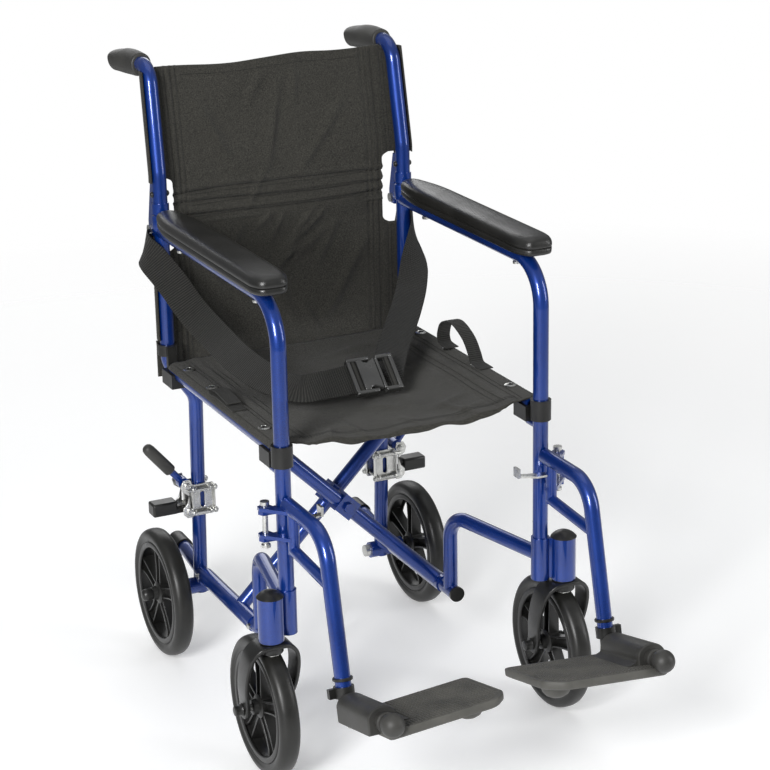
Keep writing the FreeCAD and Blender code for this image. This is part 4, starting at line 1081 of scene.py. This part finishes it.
def back_line(x, z):
    """A point for a stitch, just in front of the upper cloth."""
    return Vector((x, back_y(x, z, True) - 0.3, z))


def back_cloth():
    """The back's two cloths, their sleeves and their rows of stitches."""
    for upper in (True, False):
        back_panel(upper)
    for name, side in SIDES:
        back_sleeve("upper", f"back_{name}", NOTCH_TOP, BACK_TOP, name, side)
        back_sleeve("lower", f"frame_{name}", BACK_LOW, NOTCH_LOW, name, side)
    for part, body, low, high in (("upper", "back_right", 742.0, 921.0),
                                  ("lower", "frame_right", BACK_LOW + 6, 684.0)):
        upright = [stitches([Vector((x, back_y(x, z, part == "upper") - 0.3, z))
                             for z in span(low, high, 40)], -Y)
                   for x in (-170, -160.5, -151, 151, 160.5, 170)]
        squash_back(joined(*upright).build("back_upright_stitches_" + part, THREAD, body))
    level = [stitches([back_line(x, seam + lift) for x in range(-146, 147, 6)], -Y)
             for seam in BACK_SEAMS for lift in (-2.6, 2.6)]
    squash_back(joined(*level).build("back_level_stitches", THREAD, "back_right"))
    top = [back_line(x, 913) + Z * edge_wave(x, 913, True) for x in range(-180, 181, 6)]
    squash_back(stitches(top, -Y).build("back_top_stitches", THREAD, "back_right"))


# ---- lap belt ----


def belt():
    """Two straps from behind the posts to a side-release buckle on the seat."""
    body_low, body_high = cad("buckle_body")
    tongue_high = cad("buckle_tongue")[1]
    z = (body_low.z + body_high.z) / 2
    runs = {
        "left": [((36, 35, z - 13), (0, -0.67, 0.74)), ((43, 45, z - 5), (-0.1, -0.7, 0.7)),
                 ((56, 66, 514), (-0.3, -0.75, 0.55)), ((78, 98, 526), (-0.4, -0.8, 0.42)),
                 ((105, 133, 539), (-0.4, -0.86, 0.31)), ((134, 170, 555), (-0.4, -0.86, 0.31)),
                 ((162, 208, 574), (-0.36, -0.88, 0.31)), ((184, 240, 600), (-0.1, -0.95, 0.25)),
                 ((199, 266, 626), (0.5, -0.8, 0.2)), ((209, 290, 646), (0.85, -0.4, 0.1)),
                 ((212, 314, 658), (0.95, 0.1, 0.1)), ((201, 336, 664), (0.5, 0.85, 0.1))],
        "right": [((22, 31, z), (0, -0.7, 0.7)), ((60, 32, 508), (0, -0.65, 0.75)),
                  ((104, 40, 507), (0.1, -0.6, 0.75)), ((131, 90, 513), (0.3, -0.7, 0.6)),
                  ((147, 150, 525), (0.4, -0.8, 0.45)), ((158, 215, 545), (0.4, -0.86, 0.31)),
                  ((175, 262, 574), (0.4, -0.86, 0.31)), ((198, 282, 616), (0.4, -0.86, 0.31)),
                  ((219, 293, 648), (0.5, -0.8, 0.3)), ((228, 312, 664), (0.95, -0.2, 0.2)),
                  ((217, 331, 667), (0.4, 0.9, 0.1)), ((203, 338, 664), (0, 1, 0.1))]}
    for name, side in SIDES:
        faces = [Vector(face).normalized() for _, face in runs[name]]

        def across(share, ahead):
            spot = share * (len(faces) - 1)
            n = min(int(spot), len(faces) - 2)
            return ahead.cross(faces[n].lerp(faces[n + 1], spot - n))

        line = [point for point, _ in runs[name]]
        strap = ribbon(f"belt_strap_{name}_webbing", line, across, 47, f"frame_{name}", side, 9,
                       1.6)
        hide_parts(f"belt_strap_{name}")
        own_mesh(strap)
    buckle(body_low, body_high, tongue_high, z)


def buckle(body_low, body_high, tongue_high, z):
    """The side-release buckle, propped so that its face leans forward off the seat."""
    middle = (body_low.y + body_high.y) / 2
    centre = Vector((0, middle, z))
    x0, x2 = body_low.x, tongue_high.x
    housing, bars = Shape(), Shape()
    for y in (-1, 1):
        housing.box(Vector(((x0 + 14) / 2, middle + y * 27, z)), (14 - x0, 6, 12.5))
        bars.box(Vector(((x2 + 24) / 2, middle + y * 27, z)), (x2 - 24, 6, 12))
    housing.box(Vector((x0 + 3.2, middle, z + 1)), (6.4, 56, 9))
    bars.box(Vector((x2 - 3.2, middle, z + 1)), (6.4, 56, 9))
    bars.box(Vector((24.5, middle, z + 0.2)), (5, 52, 11.4))
    plate = [(x0 + 14, -25), (x0 + 14, 25), (1, 26), (2.5, 21.5), (8, 19.5), (14, 22.5),
             (21, 26.5), (21, -26.5), (14, -22.5), (8, -19.5), (2.5, -21.5), (1, -26)]
    housing.rings([[Vector((a, middle + b, z + rise)) for a, b in reversed(plate)]
                   for rise in (6.8, -4)])
    housing = tilted(housing, centre, BUCKLE_TILT)
    housing.build("buckle_body_moulding", BUCKLE, "lap_belt", bevel=1.6)
    bars = tilted(bars, centre, BUCKLE_TILT)
    bars.build("buckle_tongue_moulding", BUCKLE, "buckle_tongue", bevel=1.6)
    prongs = Shape()
    for y in (-1, 1):
        outline = [(4, 12), (4, 16), (8, 18.6), (14, 21.5), (20, 24.5), (23, 18), (23, 12)]
        prongs.rings([[Vector((a, middle + y * b, z + rise)) for a, b in outline]
                      for rise in (3.4, -3)])
    prongs = tilted(prongs, centre, BUCKLE_TILT).build("buckle_prongs", BUCKLE, "buckle_tongue",
                                                       bevel=0.8)
    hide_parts("buckle_tongue")
    for name, body, x in (("body", "lap_belt", x0 + 10.2), ("tongue", "buckle_tongue", x2 - 10.4)):
        wrap = Shape().lathe([(-24, 0.1), (-24, 4.2), (24, 4.2), (24, 0.1)],
                             Vector((x, middle, z + 1)), Y, 18)
        wrap.marks = [((p.z - z) / 1000 + 0.2, (p.y - middle) / 1000) for p in wrap.points]
        wrap = tilted(wrap, centre, BUCKLE_TILT).build("buckle_wrap_" + name, WEBBING, body)
        if name == "body":
            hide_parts("buckle_body")


# ---- everything ----

for side_name, side_sign in SIDES:
    hub_cap(side_name, wheel("rear_" + side_name, side_sign))
    wheel("front_" + side_name, side_sign)
    for dress in (fork, arm_pad, hand_grip, footrest, clamp_bands, brake_trim, brake_bracket,
                  hinge_trim, small_trim):
        dress(side_name)
seat_cloth()
back_cloth()
belt()

# ---- floor, light and camera ----

scene = bpy.context.scene
scene.view_settings.view_transform = "Standard"
scene.view_settings.look = "None"


def studio_floor():
    """A pale floor that fades out away from the object."""
    paint = Paint("studio_floor")
    distance = paint.node("ShaderNodeVectorMath", operation="LENGTH")
    paint.put(distance.inputs[0], paint.place)
    colour = paint.between(paint.noise(1.2, 3), (0.86, 0.86, 0.86), (0.88, 0.88, 0.878))
    paint.set(Base_Color=colour, Roughness=0.6, Emission_Color=(1, 1, 1, 1),
              Emission_Strength=0.22,
              Alpha=paint.between(distance.outputs["Value"], 1.0, 0.0, 0.9, 2.9))
    mesh = bpy.data.meshes.new("studio_floor")
    mesh.from_pydata([(3 * a, 3 * b, 0) for a, b in SQUARE], [], [(0, 1, 2, 3)])
    mesh.materials.append(paint.material)
    floor = bpy.data.objects.new("studio_floor", mesh)
    scene.collection.objects.link(floor)


def studio_world():
    """A pale room: white behind the object, dimmer near the horizon than overhead."""
    world = bpy.data.worlds.new("studio")
    world.use_nodes = True
    nodes, links = world.node_tree.nodes, world.node_tree.links
    output, room = nodes["World Output"], nodes["Background"]
    parts, ramp = nodes.new("ShaderNodeSeparateXYZ"), nodes.new("ShaderNodeMapRange")
    place, rays = nodes.new("ShaderNodeTexCoord"), nodes.new("ShaderNodeLightPath")
    links.new(place.outputs["Generated"], parts.inputs[0])
    links.new(parts.outputs[2], ramp.inputs[0])
    for socket, value in zip(ramp.inputs[1:5], (0.1, 0.85, 0.2, 0.44)):
        socket.default_value = value
    links.new(ramp.outputs[0], room.inputs[1])
    room.inputs[0].default_value = (0.96, 0.98, 1.0, 1)
    paper, either = nodes.new("ShaderNodeBackground"), nodes.new("ShaderNodeMixShader")
    paper.inputs[0].default_value = (1, 1, 1, 1)
    links.new(rays.outputs["Is Camera Ray"], either.inputs[0])
    links.new(room.outputs[0], either.inputs[1])
    links.new(paper.outputs[0], either.inputs[2])
    links.new(either.outputs[0], output.inputs[0])
    scene.world = world


def softbox(name, place, aim, width, height, power):
    light = bpy.data.lights.new(name, "AREA")
    light.shape, light.size, light.size_y, light.energy = "RECTANGLE", width, height, power
    lamp = bpy.data.objects.new(name, light)
    lamp.location = place
    lamp.rotation_euler = (Vector(aim) - Vector(place)).to_track_quat("-Z", "Y").to_euler()
    scene.collection.objects.link(lamp)


def photo_camera():
    """The camera where the photo was taken from, with the photo's slight roll."""
    eye = bpy.data.cameras.new("camera")
    eye.sensor_width, eye.lens, eye.clip_end = 36.0, 106.3, 50.0
    camera = bpy.data.objects.new("camera", eye)
    yaw, pitch, roll = -0.4388, -0.3247, -0.0194
    forward = Vector((-math.sin(yaw) * math.cos(pitch), math.cos(yaw) * math.cos(pitch),
                      math.sin(pitch)))
    right = Vector((math.cos(yaw), math.sin(yaw), 0))
    upward = right.cross(forward)
    sideways = right * math.cos(roll) + upward * math.sin(roll)
    lifted = upward * math.cos(roll) - right * math.sin(roll)
    camera.matrix_world = Matrix((sideways, lifted, -forward)).transposed().to_4x4()
    camera.location = (-1.298, -2.802, 1.546)
    scene.collection.objects.link(camera)
    scene.camera = camera


studio_floor()
studio_world()
softbox("key", (-2.6, -2.4, 2.0), (0, 0, 0.5), 1.0, 1.5, 155)
softbox("fill", (2.6, -1.8, 1.4), (0, 0, 0.5), 0.8, 1.8, 30)
softbox("top", (0.2, 0.4, 3.2), (0, 0, 0.3), 2.2, 2.2, 10)
softbox("back", (0.6, 3.0, 1.6), (0, 0, 0.5), 2.0, 1.2, 16)
photo_camera()
